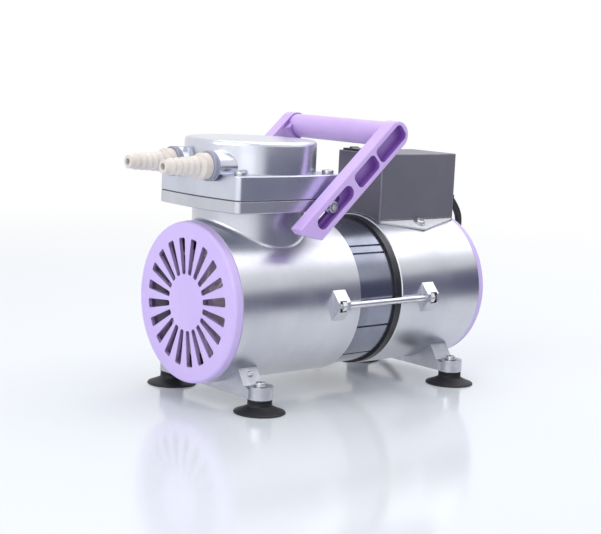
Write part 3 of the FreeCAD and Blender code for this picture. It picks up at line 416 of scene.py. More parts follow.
# thin dust on faces that look up
def makeDustGroup():
    group, start, end = newGroup("settledDust", {"Amount": 0.15, "Scale": 60.0}, "Mask")
    own = addNode(group, "NewGeometry")
    split = addNode(group, "SeparateXYZ")
    upward = spreadNode(group, 0.3, 1.0)
    spot = addNode(group, "TexCoord")
    noise = addNode(group, "TexNoise", values={"Detail": 6.0})
    both = mathNode(group, "MULTIPLY")
    scaled = mathNode(group, "MULTIPLY", clamp=True)
    wire(group, (own, "Normal", split, "Vector"), (split, "Z", upward, "Value"),
         (spot, "Object", noise, "Vector"), (start, "Scale", noise, "Scale"),
         (upward, "Result", both, 0), (noise, "Fac", both, 1), (both, "Value", scaled, 0),
         (start, "Amount", scaled, 1), (scaled, "Value", end, "Mask"))
    return group


# mask of hollows, where walls close by hide most of the room: painted shade, darkening the colour in recesses
# and slots
def makeHollowGroup():
    group, start, end = newGroup("hollowShade", {"Reach": 0.01}, "Mask")
    openness = addNode(group, "AmbientOcclusion", {"samples": 6, "only_local": True})
    spread = spreadNode(group, 0.92, 0.5, smooth=True)
    wire(group, (start, "Reach", openness, "Distance"), (openness, "AO", spread, "Value"),
         (spread, "Result", end, "Mask"))
    return group


grainGroup = makeGrainGroup()
mottleGroup = makeMottleGroup()
edgeGroup = makeEdgeGroup()
barrelGroup = makeBarrelGroup()
dustGroup = makeDustGroup()
hollowGroup = makeHollowGroup()


def useGroup(tree, group, values):
    return addNode(tree, "Group", {"node_tree": group}, values)


# colour mix: first where the mask is 0, second where it is 1. Both may be a socket or a colour
def blendColour(tree, mask, first, second):
    mix = addNode(tree, "Mix", {"data_type": "RGBA"})
    tree.links.new(mask, mix.inputs["Factor"])
    for socket, value in ((6, first), (7, second)):
        if isinstance(value, tuple):
            mix.inputs[socket].default_value = (*value, 1)
        else:
            tree.links.new(value, mix.inputs[socket])
    return mix.outputs[2]


grainGloss = 0.06  # how far the grain shifts the roughness


# node material of one finish. The look gives its colours, gloss, grain, painted shade in hollows, edge wear
# that on the box is also a painted edge highlight, and dust
def makeFinish(name, look):
    material = bpy.data.materials.new(name)
    tree, output = emptyTree(material, "OutputMaterial")
    shader = addNode(tree, "BsdfPrincipled", values={
        "Metallic": look["metallic"], "IOR": look["ior"], "Specular IOR Level": look["specular"],
        "Coat Weight": look["coat"], "Coat Roughness": look["coatRoughness"]})
    wire(tree, (shader, "BSDF", output, "Surface"))
    mottle = useGroup(tree, mottleGroup, {"Scale": look["mottleScale"]}).outputs["Mask"]
    colour = blendColour(tree, mottle, look["colour"], look["shade"])
    grain = useGroup(tree, grainGroup, {"Scale": look["grainScale"], "Stretch": look["grainStretch"]})
    height = grain.outputs["Height"]
    if "lines" in look:  # turned or stacked lines round the motor axis
        lines = useGroup(tree, barrelGroup, {"Line scale": look["lines"][0], "Break up": look["lines"][1]})
        joined = mathNode(tree, "MULTIPLY_ADD", {1: look["lines"][2]})
        wire(tree, (lines, "Height", joined, 0))
        tree.links.new(height, joined.inputs[2])
        height = joined.outputs["Value"]
        tint = spreadNode(tree, 0.3, 0.7, top=look["lines"][3])
        wire(tree, (lines, "Height", tint, "Value"))
        colour = blendColour(tree, tint.outputs["Result"], colour, look["lineColour"])
    # painted shade: the colour darkens towards a deep tone in hollows
    if "hollow" in look:
        hollow = useGroup(tree, hollowGroup, {"Reach": look["hollow"]})
        colour = blendColour(tree, hollow.outputs["Mask"], colour, look["hollowColour"])
    if "dust" in look:
        dust = useGroup(tree, dustGroup, {"Amount": look["dust"][0], "Scale": look["dust"][1]})
        colour = blendColour(tree, dust.outputs["Mask"], colour, look["dustColour"])
    # edges lighten: wear, and on the box a painted highlight
    wearAndHighlight = useGroup(tree, edgeGroup, {"Radius": look["wearRadius"], "Patch scale": look["wearScale"]})
    share = mathNode(tree, "MULTIPLY", {1: look["wear"]})
    wire(tree, (wearAndHighlight, "Mask", share, 0))
    colour = blendColour(tree, share.outputs["Value"], colour, look["wearAndHighlightColour"])
    tree.links.new(colour, shader.inputs["Base Color"])
    gloss = spreadNode(tree, 0.0, 1.0, *look["roughness"])
    tree.links.new(mottle, gloss.inputs["Value"])
    fine = mathNode(tree, "MULTIPLY_ADD", {1: grainGloss}, clamp=True)
    tree.links.new(height, fine.inputs[0])
    wire(tree, (gloss, "Result", fine, 2), (fine, "Value", shader, "Roughness"))
    rounded = addNode(tree, "Bevel", {"samples": 4}, {"Radius": look["edgeRound"]})
    bump = addNode(tree, "Bump", values={"Strength": look["bump"], "Distance": look["bumpDepth"]})
    tree.links.new(height, bump.inputs["Height"])
    wire(tree, (rounded, "Normal", bump, "Normal"), (bump, "Normal", shader, "Normal"))
    return material


# finishes, linear colours

anyBase = {"ior": 1.5, "specular": 0.5, "coat": 0.0, "coatRoughness": 0.2, "grainStretch": (1, 1, 1)}
plasticBase = {
    **anyBase, "metallic": 0.0, "mottleScale": 14.0, "roughness": (0.34, 0.42), "grainScale": 900.0,
    "bump": 0.25, "bumpDepth": 0.00006, "wear": 0.35, "wearRadius": 0.0007, "wearScale": 140.0,
    "edgeRound": 0.0005,
}
metalBase = {
    **anyBase, "metallic": 1.0, "mottleScale": 26.0, "roughness": (0.24, 0.34), "grainScale": 700.0,
    "bump": 0.2, "bumpDepth": 0.00005, "wear": 0.5, "wearRadius": 0.0006, "wearScale": 220.0,
    "edgeRound": 0.0004,
}


def plastic(colour, shade, wearAndHighlight, **changes):
    return {**plasticBase, "colour": colour, "shade": shade, "wearAndHighlightColour": wearAndHighlight, **changes}


def metal(colour, shade, wearAndHighlight, **changes):
    return {**metalBase, "colour": colour, "shade": shade, "wearAndHighlightColour": wearAndHighlight, **changes}


looks = {
    # the cover's slot walls and recesses get painted shade: a near-black purple in hollows
    "coverLilac": plastic(
        (0.68, 0.54, 0.95), (0.64, 0.50, 0.92), (0.80, 0.72, 0.98), hollow=0.020,
        hollowColour=(0.075, 0.035, 0.15), dust=(0.10, 50.0), dustColour=(0.85, 0.82, 0.92)),
    # the handle's pockets get painted shade: a deeper purple in hollows
    "handleLilac": plastic(
        (0.68, 0.50, 0.92), (0.64, 0.45, 0.89), (0.82, 0.72, 0.97), bump=0.3, hollow=0.028,
        hollowColour=(0.27, 0.115, 0.48), grainScale=620.0),
    "casingSatin": metal(
        (0.62, 0.63, 0.685), (0.57, 0.58, 0.64), (0.85, 0.85, 0.88), bump=0.12, roughness=(0.24, 0.31),
        mottleScale=18.0, lines=(1500.0, 1.6, 0.8, 0.35), lineColour=(0.50, 0.51, 0.57)),
    "headSatin": metal(
        (0.62, 0.64, 0.73), (0.57, 0.59, 0.68), (0.90, 0.91, 0.94), roughness=(0.25, 0.31),
        grainScale=1800.0, bump=0.10, wear=0.7),
    "capSatin": metal(
        (0.64, 0.66, 0.74), (0.60, 0.62, 0.70), (0.92, 0.93, 0.95), roughness=(0.20, 0.26),
        grainScale=2000.0, bump=0.06, wear=0.8),
    "seamGrey": plastic(
        (0.085, 0.085, 0.10), (0.10, 0.10, 0.12), (0.14, 0.14, 0.15), roughness=(0.42, 0.56),
        grainScale=1600.0),
    "statorSlate": metal(
        (0.26, 0.28, 0.36), (0.20, 0.215, 0.28), (0.42, 0.43, 0.48), metallic=0.9,
        roughness=(0.15, 0.22), lines=(4200.0, 0.4, 0.7, 0.4), lineColour=(0.18, 0.19, 0.25), bump=0.1,
        coat=0.35, coatRoughness=0.22),
    # near-black band between the stator and the rear casing: painted shade of the recessed gap there
    "bandBlack": metal(
        (0.028, 0.028, 0.036), (0.02, 0.02, 0.027), (0.25, 0.25, 0.28), metallic=0.2,
        roughness=(0.28, 0.38)),
    # the strong pale edge wear here is also a painted highlight along the box's edges
    "boxGrey": plastic(
        (0.165, 0.157, 0.198), (0.145, 0.139, 0.176), (0.72, 0.72, 0.78), roughness=(0.34, 0.44),
        grainScale=1500.0, bump=0.2, wear=1.0, wearRadius=0.0015, wearScale=60.0, dust=(0.12, 40.0),
        dustColour=(0.45, 0.45, 0.5)),
    "zincPlate": metal((0.68, 0.68, 0.72), (0.58, 0.58, 0.63), (0.80, 0.80, 0.84), mottleScale=70.0),
    "paleZinc": metal(
        (0.86, 0.86, 0.90), (0.78, 0.78, 0.83), (0.95, 0.95, 0.97), metallic=0.3, mottleScale=70.0,
        roughness=(0.36, 0.46)),
    "bracketAlloy": metal(
        (0.50, 0.51, 0.57), (0.43, 0.44, 0.50), (0.84, 0.84, 0.87), mottleScale=60.0, grainScale=900.0,
        grainStretch=(1, 0.25, 0.25), roughness=(0.22, 0.34)),
    "screwSteel": metal(
        (0.60, 0.60, 0.63), (0.50, 0.50, 0.54), (0.78, 0.78, 0.8), mottleScale=160.0,
        roughness=(0.2, 0.3), wearRadius=0.0003),
    "rubberBlack": plastic(
        (0.012, 0.012, 0.016), (0.018, 0.018, 0.023), (0.07, 0.07, 0.08), roughness=(0.44, 0.54),
        specular=0.3, grainScale=1600.0, bump=0.4, dust=(0.04, 90.0), dustColour=(0.16, 0.16, 0.18)),
    "leadRubber": plastic(
        (0.018, 0.018, 0.021), (0.026, 0.026, 0.030), (0.06, 0.06, 0.065), roughness=(0.36, 0.48),
        grainScale=2200.0, dust=(0.10, 120.0), dustColour=(0.25, 0.25, 0.27)),
    "barbCream": plastic(
        (0.80, 0.745, 0.70), (0.73, 0.665, 0.615), (0.87, 0.84, 0.81), mottleScale=90.0,
        roughness=(0.40, 0.52), grainScale=700.0, bump=0.5, bumpDepth=0.00012),
    "switchBlack": plastic(
        (0.016, 0.016, 0.019), (0.022, 0.022, 0.026), (0.07, 0.07, 0.08), roughness=(0.26, 0.34)),
    "fanPale": plastic((0.84, 0.76, 0.82), (0.78, 0.70, 0.78), (0.88, 0.84, 0.88)),
    "collarGrey": plastic(
        (0.27, 0.275, 0.37), (0.33, 0.335, 0.45), (0.45, 0.45, 0.54), roughness=(0.30, 0.40),
        grainScale=1600.0),
    "copperWire": metal(
        (0.50, 0.17, 0.07), (0.38, 0.12, 0.05), (0.6, 0.25, 0.12), grainScale=900.0,
        grainStretch=(1, 0.1, 0.1), bump=0.8, bumpDepth=0.0003),
    "groundSteel": metal(
        (0.56, 0.56, 0.58), (0.48, 0.48, 0.50), (0.7, 0.7, 0.72), lines=(2600.0, 1.0, 0.8, 0.3),
        lineColour=(0.4, 0.4, 0.42)),
    "rotorCore": metal(
        (0.30, 0.30, 0.33), (0.24, 0.24, 0.27), (0.5, 0.5, 0.52), lines=(5200.0, 0.3, 1.5, 0.5),
        lineColour=(0.16, 0.16, 0.18)),
    "castAlloy": metal(
        (0.55, 0.56, 0.58), (0.46, 0.47, 0.50), (0.7, 0.7, 0.72), roughness=(0.42, 0.55),
        grainScale=1100.0, bump=0.5, bumpDepth=0.0001),
    "canMetal": metal((0.60, 0.60, 0.62), (0.52, 0.52, 0.55), (0.75, 0.75, 0.77), grainStretch=(0.2, 1, 1)),
    "pinNickel": metal(
        (0.66, 0.62, 0.54), (0.58, 0.54, 0.47), (0.8, 0.77, 0.7), mottleScale=120.0,
        roughness=(0.18, 0.26)),
    "switchMark": plastic((0.75, 0.75, 0.76), (0.68, 0.68, 0.70), (0.8, 0.8, 0.8)),
}

finishes = {name: makeFinish(name, look) for name, look in looks.items()}

nodeFinishes = {
    "coverLilac": ["front_cover", "rear_cover"],
    "handleLilac": ["handle"],
    "casingSatin": ["front_casing", "rear_casing"],
    "headSatin": ["head_plate"],
    "capSatin": ["head_cap"],
    "statorSlate": ["stator_core"],
    "bandBlack": ["stator_band"],
    "boxGrey": ["box_cover"],
    "paleZinc": ["box_base"],
    "zincPlate": ["tie_rod_right", "tie_rod_left", "front_nut_right", "front_nut_left",
                  "rear_nut_right", "rear_nut_left", "handle_bolt_right", "handle_bolt_left"],
    "bracketAlloy": ["front_bracket", "rear_bracket"],
    "rubberBlack": ["inlet_valve", "outlet_valve"],
    "seamGrey": ["diaphragm"],
    "switchBlack": ["switch_frame", "switch_rocker"],
    "fanPale": ["front_fan", "rear_fan"],
    "copperWire": ["winding_front", "winding_rear"],
    "groundSteel": ["shaft", "front_bearing", "rear_bearing", "rod_bearing", "eccentric"],
    "rotorCore": ["rotor_core"],
    "castAlloy": ["front_shield", "rear_shield", "connecting_rod", "clamp_disc"],
    "canMetal": ["capacitor"],
}
for finish, names in nodeFinishes.items():
    for node in names:
        nodes[node].data.materials.clear()
        nodes[node].data.materials.append(finishes[finish])
print("finishes made:", len(finishes))


# head screws with a socket for a hexagon key

headScrew = {
    "radius": 0.0044, "height": 0.003, "sides": 36, "rim": 0.0018, "socket": 0.0024, "socketSides": 6,
    "socketDepth": 0.0018, "slack": 0.0001, "edge": 0.0005, "turnStep": 0.4,
}


def makeHeadScrews():
    height = headScrew["height"]
    screw = standCylinder("headScrewPattern", headScrew["sides"], headScrew["radius"], height)
    enterEdit()
    pickFaces(screw, lambda centre, normal: normal.z > modelling["facing"])
    bpy.ops.mesh.inset(thickness=headScrew["rim"])
    bpy.ops.mesh.delete(type="FACE")
    bpy.ops.mesh.primitive_circle_add(vertices=headScrew["socketSides"], radius=headScrew["socket"],
                                      location=(0, 0, height))
    top = height - modelling["near"]
    slack = headScrew["slack"]
    wide = headScrew["radius"] - headScrew["rim"] + slack
    pickEdges(screw, lambda a, b: min(a.z, b.z) > top and max(a.xy.length, b.xy.length) < wide
              and abs(a.xy.length - b.xy.length) < slack)
    bpy.ops.mesh.bridge_edge_loops()
    inner = headScrew["socket"] + slack / 2
    pickEdges(screw, lambda a, b: min(a.z, b.z) > top and max(a.xy.length, b.xy.length) < inner)
    bpy.ops.mesh.extrude_edges_move(TRANSFORM_OT_translate={"value": (0, 0, -headScrew["socketDepth"])})
    bpy.ops.mesh.edge_face_add()
    closeShell()
    softenEdges(screw, headScrew["edge"], segments=3, angle=50)
    for number in range(1, 5):
        node = "head_screw_" + str(number)
        middle = middleOf(node)
        seat = Vector((middle.x, middle.y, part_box(node)[1].z - height))
        turn = Matrix.Rotation(headScrew["turnStep"] * number, 4, "Z")
        standFor(screw, node, Matrix.Translation(seat) @ turn, "screwSteel")
    discard(screw)


makeHeadScrews()


# rubber feet: a neck under the bracket's boss and a thin suction skirt

rubberFoot = {
    "outline": [
        (0.0, 0.0028), (0.0099, 0.0019), (0.0165, 0.0), (0.0189, 0.0), (0.0192, 0.0005), (0.0189, 0.0011),
        (0.0160, 0.0021), (0.0126, 0.0036), (0.0103, 0.0047), (0.0095, 0.0053), (0.0092, 0.0060),
        (0.0092, 0.0078), (0.0087, 0.0081), (0.0087, 0.0084), (0.0092, 0.0087), (0.0092, 0.0098),
        (0.0088, 0.0103), (0.0, 0.0103),
    ],
    "feet": ["front_foot_right", "front_foot_left", "rear_foot_right", "rear_foot_left"],
}


def makeFeet():
    foot = spinOutline("footPattern", rubberFoot["outline"], steps=64)
    for node in rubberFoot["feet"]:
        middle = middleOf(node)
        place = Matrix.Translation((middle.x, middle.y, 0))
        standFor(foot, node, place, "rubberBlack", angle=50)
    discard(foot)


makeFeet()


# domed cross screws on the bosses over the feet, the front bracket's slopes and the box's tabs

domedScrew = {
    "radius": 0.0038, "height": 0.0022, "sides": 32, "edge": 0.0011, "edgeSteps": 4,
    "slotLength": 0.0046, "slotWidth": 0.0009, "slotDepth": 0.0012, "slotEdge": 0.00015,
    "cutterHeight": 0.002, "washerRadius": 0.0049, "washerHeight": 0.0007, "washerEdge": 0.0002,
    "axisHeight": 0.0747, "tabAngle": 61.0, "tabSurface": 0.0623, "tabSlide": -0.0012, "tabTurn": 0.5,
    "bossTop": 0.0197, "bossTurn": 0.3, "bossTurnPerMetre": 9,
    "slopeShift": -0.0026, "slopeSide": 0.0455, "slopeHeight": 0.0268, "slopeTilt": 33.7, "slopeScale": 0.5,
}


def makeDomedScrew():
    washerHeight = domedScrew["washerHeight"]
    screw = standCylinder("domedScrewPattern", domedScrew["sides"], domedScrew["radius"],
                          domedScrew["height"], washerHeight)
    top = washerHeight + domedScrew["height"] - modelling["near"]
    enterEdit()
    pickEdges(screw, lambda a, b: min(a.z, b.z) > top)
    bpy.ops.mesh.bevel(offset=domedScrew["edge"], segments=domedScrew["edgeSteps"], affect="EDGES")
    clearSelection()
    tall = domedScrew["cutterHeight"]
    bpy.ops.mesh.primitive_cube_add(size=1, location=(0, 0, top + tall / 2 - domedScrew["slotDepth"]))
    cutter = nameActive("crossCutter")
    cutter.scale = (domedScrew["slotLength"], domedScrew["slotWidth"], tall)
    bpy.ops.object.transform_apply(location=True, scale=True)
    enterEdit()
    bpy.ops.mesh.select_all(action="SELECT")
    bpy.ops.mesh.bevel(offset=domedScrew["slotEdge"], segments=1, affect="EDGES")
    leaveEdit()
    for angle in (0, math.pi / 2):
        cutter.data.transform(Matrix.Rotation(angle, 4, "Z"))
        withModifier(screw, "BOOLEAN", operation="DIFFERENCE", object=cutter, solver="EXACT")
    discard(cutter)
    washer = standCylinder("washerPattern", domedScrew["sides"], domedScrew["washerRadius"], washerHeight)
    softenEdges(washer, domedScrew["washerEdge"])
    takeUp(screw)
    washer.select_set(True)
    bpy.ops.object.join()
    return screw


def placeDomedScrew(screw, name, matrix):
    dress(placeCopy(screw, name, matrix), "pump", "screwSteel")


def makeDomedScrews():
    screw = makeDomedScrew()
    lift = math.radians(domedScrew["tabAngle"])
    for side, label in ((-1, "Right"), (1, "Left")):
        outward = Vector((0, side * math.cos(lift), math.sin(lift)))
        downhill = Vector((0, side * math.sin(lift), -math.cos(lift)))
        axis = Vector((middleOf("box_base").x, 0, domedScrew["axisHeight"]))
        place = axis + outward * domedScrew["tabSurface"] + downhill * domedScrew["tabSlide"]
        turn = Matrix.Rotation(domedScrew["tabTurn"], 4, "Z")
        placeDomedScrew(screw, "tabScrew" + label, towards(outward, place) @ turn)
    tilt = math.radians(domedScrew["slopeTilt"])
    for node in rubberFoot["feet"]:
        middle = middleOf(node)
        name = camelName(node)
        seat = Matrix.Translation((middle.x, middle.y, domedScrew["bossTop"]))
        angle = domedScrew["bossTurn"] + middle.x * domedScrew["bossTurnPerMetre"]
        placeDomedScrew(screw, name + "Screw", seat @ Matrix.Rotation(angle, 4, "Z"))
        if name.startswith("rear"):  # only the front bracket has screws on its slopes
            continue
        side = 1 if middle.y > 0 else -1
        outward = Vector((0, side * math.cos(tilt), math.sin(tilt)))
        slope = Vector((middle.x + domedScrew["slopeShift"], side * domedScrew["slopeSide"],
                        domedScrew["slopeHeight"]))
        placeDomedScrew(screw, name.replace("Foot", "Bracket") + "Screw",
                        towards(outward, slope) @ Matrix.Scale(domedScrew["slopeScale"], 4))
    discard(screw)


makeDomedScrews()
print("screws and feet done")


# sealing collars and hose barbs

collar = {
    "outline": [(0.00495, 0.0), (0.0104, 0.0), (0.0110, 0.0005), (0.0110, 0.0018), (0.0106, 0.0021),
                (0.0106, 0.0024), (0.0110, 0.0027), (0.0110, 0.0045), (0.00495, 0.0045), (0.00495, 0.0)],
    "nodes": ["inlet_collar", "outlet_collar"],
}
barb = {
    "bore": 0.0025, "tip": 0.0050, "tipEdge": 0.0004, "tipRound": 0.0005, "tipLength": 0.003,
    "steps": 5, "pitch": 0.005, "rise": 0.0011, "growth": 0.00035,
    "stepShape": [(0.0, 0.0002), (0.85, 0.0032), (1.0, 0.0038), (1.0, 0.0044), (0.6, 0.0049)],
    "stepGap": 0.0002, "reach": 0.038, "flange": 0.0095, "flangeLength": 0.007, "flangeSlope": 0.0022,
    "flangeRound": 0.0006, "flangeEdge": 0.0003, "shank": 0.00485, "shankEnd": 0.052,
    "nodes": ["inlet_barb", "outlet_barb"],
}


# (radius, distance from the tip): five rounded steps, a neck, the flange and the shank
def barbOutline():
    bore, tip, rise, reach = barb["bore"], barb["tip"], barb["rise"], barb["reach"]
    outline = [(bore, 0.0), (tip - barb["tipEdge"], 0.0), (tip, barb["tipRound"]), (tip, barb["tipLength"])]
    at = barb["tipLength"]
    for step in range(barb["steps"]):
        low = tip + barb["growth"] * step
        outline += [(low + rise * share, at + along) for share, along in barb["stepShape"]]
        at += barb["pitch"]
    neck = tip + barb["growth"] * barb["steps"]
    flange, corner, edge = barb["flange"], barb["flangeRound"], barb["flangeEdge"]
    flangeStart = reach - barb["flangeLength"]
    outline += [(neck, at + barb["stepGap"]), (neck, flangeStart - barb["flangeSlope"]),
                (flange - corner, flangeStart), (flange, flangeStart + corner), (flange, reach - edge),
                (flange - edge, reach), (barb["shank"], reach), (barb["shank"], barb["shankEnd"]),
                (bore, barb["shankEnd"]), (bore, 0.0)]
    return outline


def makeHoseEnds(pattern, names, finish, angle):
    for node in names:
        middle = middleOf(node)
        place = towards((1, 0, 0), (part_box(node)[0].x, middle.y, middle.z))
        standFor(pattern, node, place, finish, angle)
    discard(pattern)


makeHoseEnds(spinOutline("collarPattern", collar["outline"], steps=64), collar["nodes"],
             "collarGrey", 32)
makeHoseEnds(spinOutline("barbPattern", barbOutline(), steps=56), barb["nodes"],
             "barbCream", 40)


# threads on the ends of the tie rods

rodThread = {
    "core": 0.00235, "sunk": 0.0003, "crest": 0.00262, "crestFrom": 0.45, "crestTo": 0.55,
    "pitch": 0.0008, "count": 9, "endGap": 0.0005,
}


def makeRodThreads():
    inner = rodThread["core"] - rodThread["sunk"]
    pitch = rodThread["pitch"]
    outline = [(inner, 0.0)]
    for ridge in range(rodThread["count"]):
        start = ridge * pitch
        outline += [(rodThread["core"], start), (rodThread["crest"], start + pitch * rodThread["crestFrom"]),
                    (rodThread["crest"], start + pitch * rodThread["crestTo"])]
    end = rodThread["count"] * pitch
    outline += [(rodThread["core"], end), (inner, end), (inner, 0.0)]
    thread = spinOutline("threadPattern", outline, steps=28)
    for side in ("Right", "Left"):
        low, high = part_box("tie_rod_" + side.lower())
        middle = (low + high) / 2
        frontX = low.x + rodThread["endGap"]
        rearX = high.x - end - rodThread["endGap"]
        for label, x in (("Front", frontX), ("Rear", rearX)):
            matrix = towards((1, 0, 0), (x, middle.y, middle.z))
            piece = placeCopy(thread, "rodThread" + label + side, matrix)
            dress(piece, "pump", "screwSteel")
    discard(thread)


makeRodThreads()
print("hose ends and rod threads done")


# strain relief: nut against the box wall, then a ribbed sleeve that bends down with the lead

relief = {
    "wall": 0.1423, "height": 0.1526, "buried": -0.002, "straightEnd": 0.14734, "bend": 0.0257,
    "turn": 45.64, "base": 0.0058, "rootRise": 0.0005, "tip": 0.0041, "tipEdge": 0.0004, "ribs": 7,
    "ribDip": 0.0007, "ribShape": [(0.0, 0.0), (0.62, 0.0), (0.68, 1.0), (0.94, 1.0)], "dipFade": 0.4,
    "nutRadius": 0.0090, "nutStart": 0.00015, "nutLength": 0.00305, "nutSides": 12, "nutInset": 0.0014,
    "nutLip": 0.0006, "nutEdge": 0.0003,
}


# (radius, distance from the wall) of the straight sleeve before it is bent
def reliefOutline():
    sleeve = relief["bend"] * math.radians(relief["turn"])
    start = relief["straightEnd"] - relief["wall"]
    root = relief["base"] + relief["rootRise"]
    outline = [(0.0, relief["buried"]), (root, relief["buried"]), (root, start)]
    pitch = sleeve / relief["ribs"]
    for rib in range(relief["ribs"]):
        for share, dip in relief["ribShape"]:
            along = (rib + share) * pitch
            radius = relief["base"] + (relief["tip"] - relief["base"]) * along / sleeve
            fade = 1 - relief["dipFade"] * along / sleeve
            outline.append((radius - relief["ribDip"] * dip * fade, start + along))
    edge = relief["tipEdge"]
    outline += [(relief["tip"], start + sleeve - edge), (relief["tip"] - edge, start + sleeve),
                (0.0, start + sleeve)]
    return outline


def makeRelief():
    sleeve = spinOutline("leadRelief", reliefOutline(), steps=40)
    sleeve.data.transform(towards((1, 0, 0), (relief["wall"], 0, relief["height"])))
    pivotHeight = relief["height"] - relief["bend"]
    for spot in sleeve.data.vertices:
        past = spot.co.x - relief["straightEnd"]
        if past > 0:  # follow the arc that the solid follows
            angle = past / relief["bend"]
            reach = spot.co.z - pivotHeight
            spot.co.x = relief["straightEnd"] + reach * math.sin(angle)
            spot.co.z = pivotHeight + reach * math.cos(angle)
    clearSelection()
    bpy.ops.mesh.primitive_cylinder_add(
        vertices=relief["nutSides"], radius=relief["nutRadius"], depth=relief["nutLength"],
        rotation=(0, math.pi / 2, 0),
        location=(relief["wall"] + relief["nutStart"] + relief["nutLength"] / 2, 0, relief["height"]))
    nut = nameActive("reliefNut")
    bpy.ops.object.transform_apply(location=True, rotation=True)
    enterEdit()
    pickFaces(nut, lambda centre, normal: normal.x > modelling["facing"])
    bpy.ops.mesh.inset(thickness=relief["nutInset"])
    bpy.ops.mesh.extrude_region_move(TRANSFORM_OT_translate={"value": (relief["nutLip"], 0, 0)})
    leaveEdit()
    softenEdges(nut, relief["nutEdge"], angle=20)
    for piece in (sleeve, nut):
        dress(piece, "pump", "leadRubber")
    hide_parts("cord_gland")
    return sleeve, nut


leadRelief, reliefNut = makeRelief()


# round plug lying on its back beside the coil. Shapes are steps in from the rim and from the end

plug = {
    "centre": (0.1618, 0.165), "floor": 0.0001, "radius": 0.019, "height": 0.018,
    "footShape": [(0.0022, 0.0), (0.0006, 0.0007), (0.0, 0.0020)],
    "headShape": [(0.0, 0.0045), (0.0007, 0.0040), (0.0007, 0.0008), (0.0015, 0.0)],
    "gripCount": 18, "gripShare": 0.25, "gripDepth": 0.0006, "gripTop": 0.0045, "neckClear": 0.5,
    "upright": 0.2, "neckHeight": 0.0091, "neckStart": 0.1308, "neckLength": 0.0144, "neckTip": 0.0041,
    "neckEdge": 0.0003, "neckRoot": 0.0070, "neckInside": 0.006, "grooves": 4, "grooveDip": 0.0006,
    "grooveShape": [(0.05, 0.0), (0.6, 0.0), (0.68, 1.0), (0.95, 1.0)],
    "insertRadius": 0.016, "insertDepth": 0.0016, "insertSink": 0.0004,
    "insertShape": [(0.0001, 0.0003), (0.0004, 0.0)], "dish": [(0.0050, 0.0), (0.0046, 0.0006)],
    "pinRadius": 0.0024, "pinLength": 0.019, "pinSunk": 0.001, "pinSpacing": 0.019,
    "pinShape": [(0.0, 0.0014), (0.0005, 0.0005), (0.0014, 0.0)],
}
plugTop = plug["floor"] + plug["height"]


def makePlugShell():
    rim = plug["radius"]
    seat = plugTop - plug["insertDepth"]
    outline = [(0.0, plug["floor"])]
    outline += [(rim - inward, plug["floor"] + up) for inward, up in plug["footShape"]]
    outline += [(rim - inward, plugTop - down) for inward, down in plug["headShape"]]
    outline += [(plug["insertRadius"], plugTop), (plug["insertRadius"], seat), (0.0, seat)]
    shell = spinOutline("plugShell", outline, steps=72)
    step = 2 * math.pi / plug["gripCount"]
    enterEdit()
    pickFaces(shell, lambda centre, normal: abs(normal.z) < plug["upright"]
              and normal.xy.dot(centre.xy) > 0 and centre.z < plugTop - plug["gripTop"]
              and abs((math.atan2(centre.y, centre.x) / step) % 1 - 0.5) > plug["gripShare"]
              and abs(math.atan2(centre.y, -centre.x)) > plug["neckClear"])
    bpy.ops.mesh.extrude_region_shrink_fatten(TRANSFORM_OT_shrink_fatten={"value": -plug["gripDepth"]})
    leaveEdit()
    shell.data.transform(Matrix.Translation((*plug["centre"], 0)))
    return shell


def makePlugNeck():
    tip, root, length = plug["neckTip"], plug["neckRoot"], plug["neckLength"]
    outline = [(0.0, 0.0), (tip - plug["neckEdge"], 0.0)]
    for ring in range(plug["grooves"]):
        for share, dip in plug["grooveShape"]:
            along = (ring + share) * length / plug["grooves"]
            outline.append((tip + (root - tip) * along / length - plug["grooveDip"] * dip, along))
    inside = length + plug["neckInside"]
    outline += [(root, length), (root, inside), (0.0, inside)]
    neck = spinOutline("plugNeck", outline, steps=36)
    neck.data.transform(towards((1, 0, 0), (plug["neckStart"], plug["centre"][1], plug["neckHeight"])))
    return neck


def makePlugInsert():
    seat = plugTop - plug["insertDepth"]
    face = plugTop - plug["insertSink"]
    rim = plug["insertRadius"]
    outline = [(0.0, seat), (rim - plug["insertShape"][0][0], seat)]
    outline += [(rim - inward, face - down) for inward, down in plug["insertShape"]]
    outline += [(radius, face - down) for radius, down in plug["dish"]]
    insert = spinOutline("plugInsert", outline + [(0.0, outline[-1][1])], steps=48)
    insert.data.transform(Matrix.Translation((*plug["centre"], 0)))
    return insert


def makePlugPins():
    foot = plugTop - plug["pinSunk"]
    end = plugTop + plug["pinLength"]
    outline = [(0.0, foot), (plug["pinRadius"], foot)]
    outline += [(plug["pinRadius"] - inward, end - down) for inward, down in plug["pinShape"]]
    pin = spinOutline("plugPinLeft", outline + [(0.0, end)], steps=32)
    across, along = plug["centre"]
    half = plug["pinSpacing"] / 2
    other = placeCopy(pin, "plugPinRight", Matrix.Translation((across, along - half, 0)))
    pin.data.transform(Matrix.Translation((across, along + half, 0)))
    return pin, other


def makePlug():
    shell = makePlugShell()
    neck = makePlugNeck()
    insert = makePlugInsert()
    pin, other = makePlugPins()
    for piece in (shell, neck, insert):
        dress(piece, "pump", "leadRubber")
    for piece in (pin, other):
        dress(piece, "pump", "pinNickel")
    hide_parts("plug_body")
    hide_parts("plug_pins")
    return [shell, neck, insert, pin, other]


plugPieces = makePlug()
dress(mainsLead, "pump", "leadRubber")
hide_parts("power_cord", "cord_coil")
print("lead, relief and plug done")


# marks on the rocker switch

switchMark = {
    "width": 0.0007, "length": 0.0034, "ring": 0.0017, "thickness": 0.00025, "edge": 0.00008,
    "spread": 0.0048, "side": 0.012, "height": 0.18640, "tilt": 8,
}


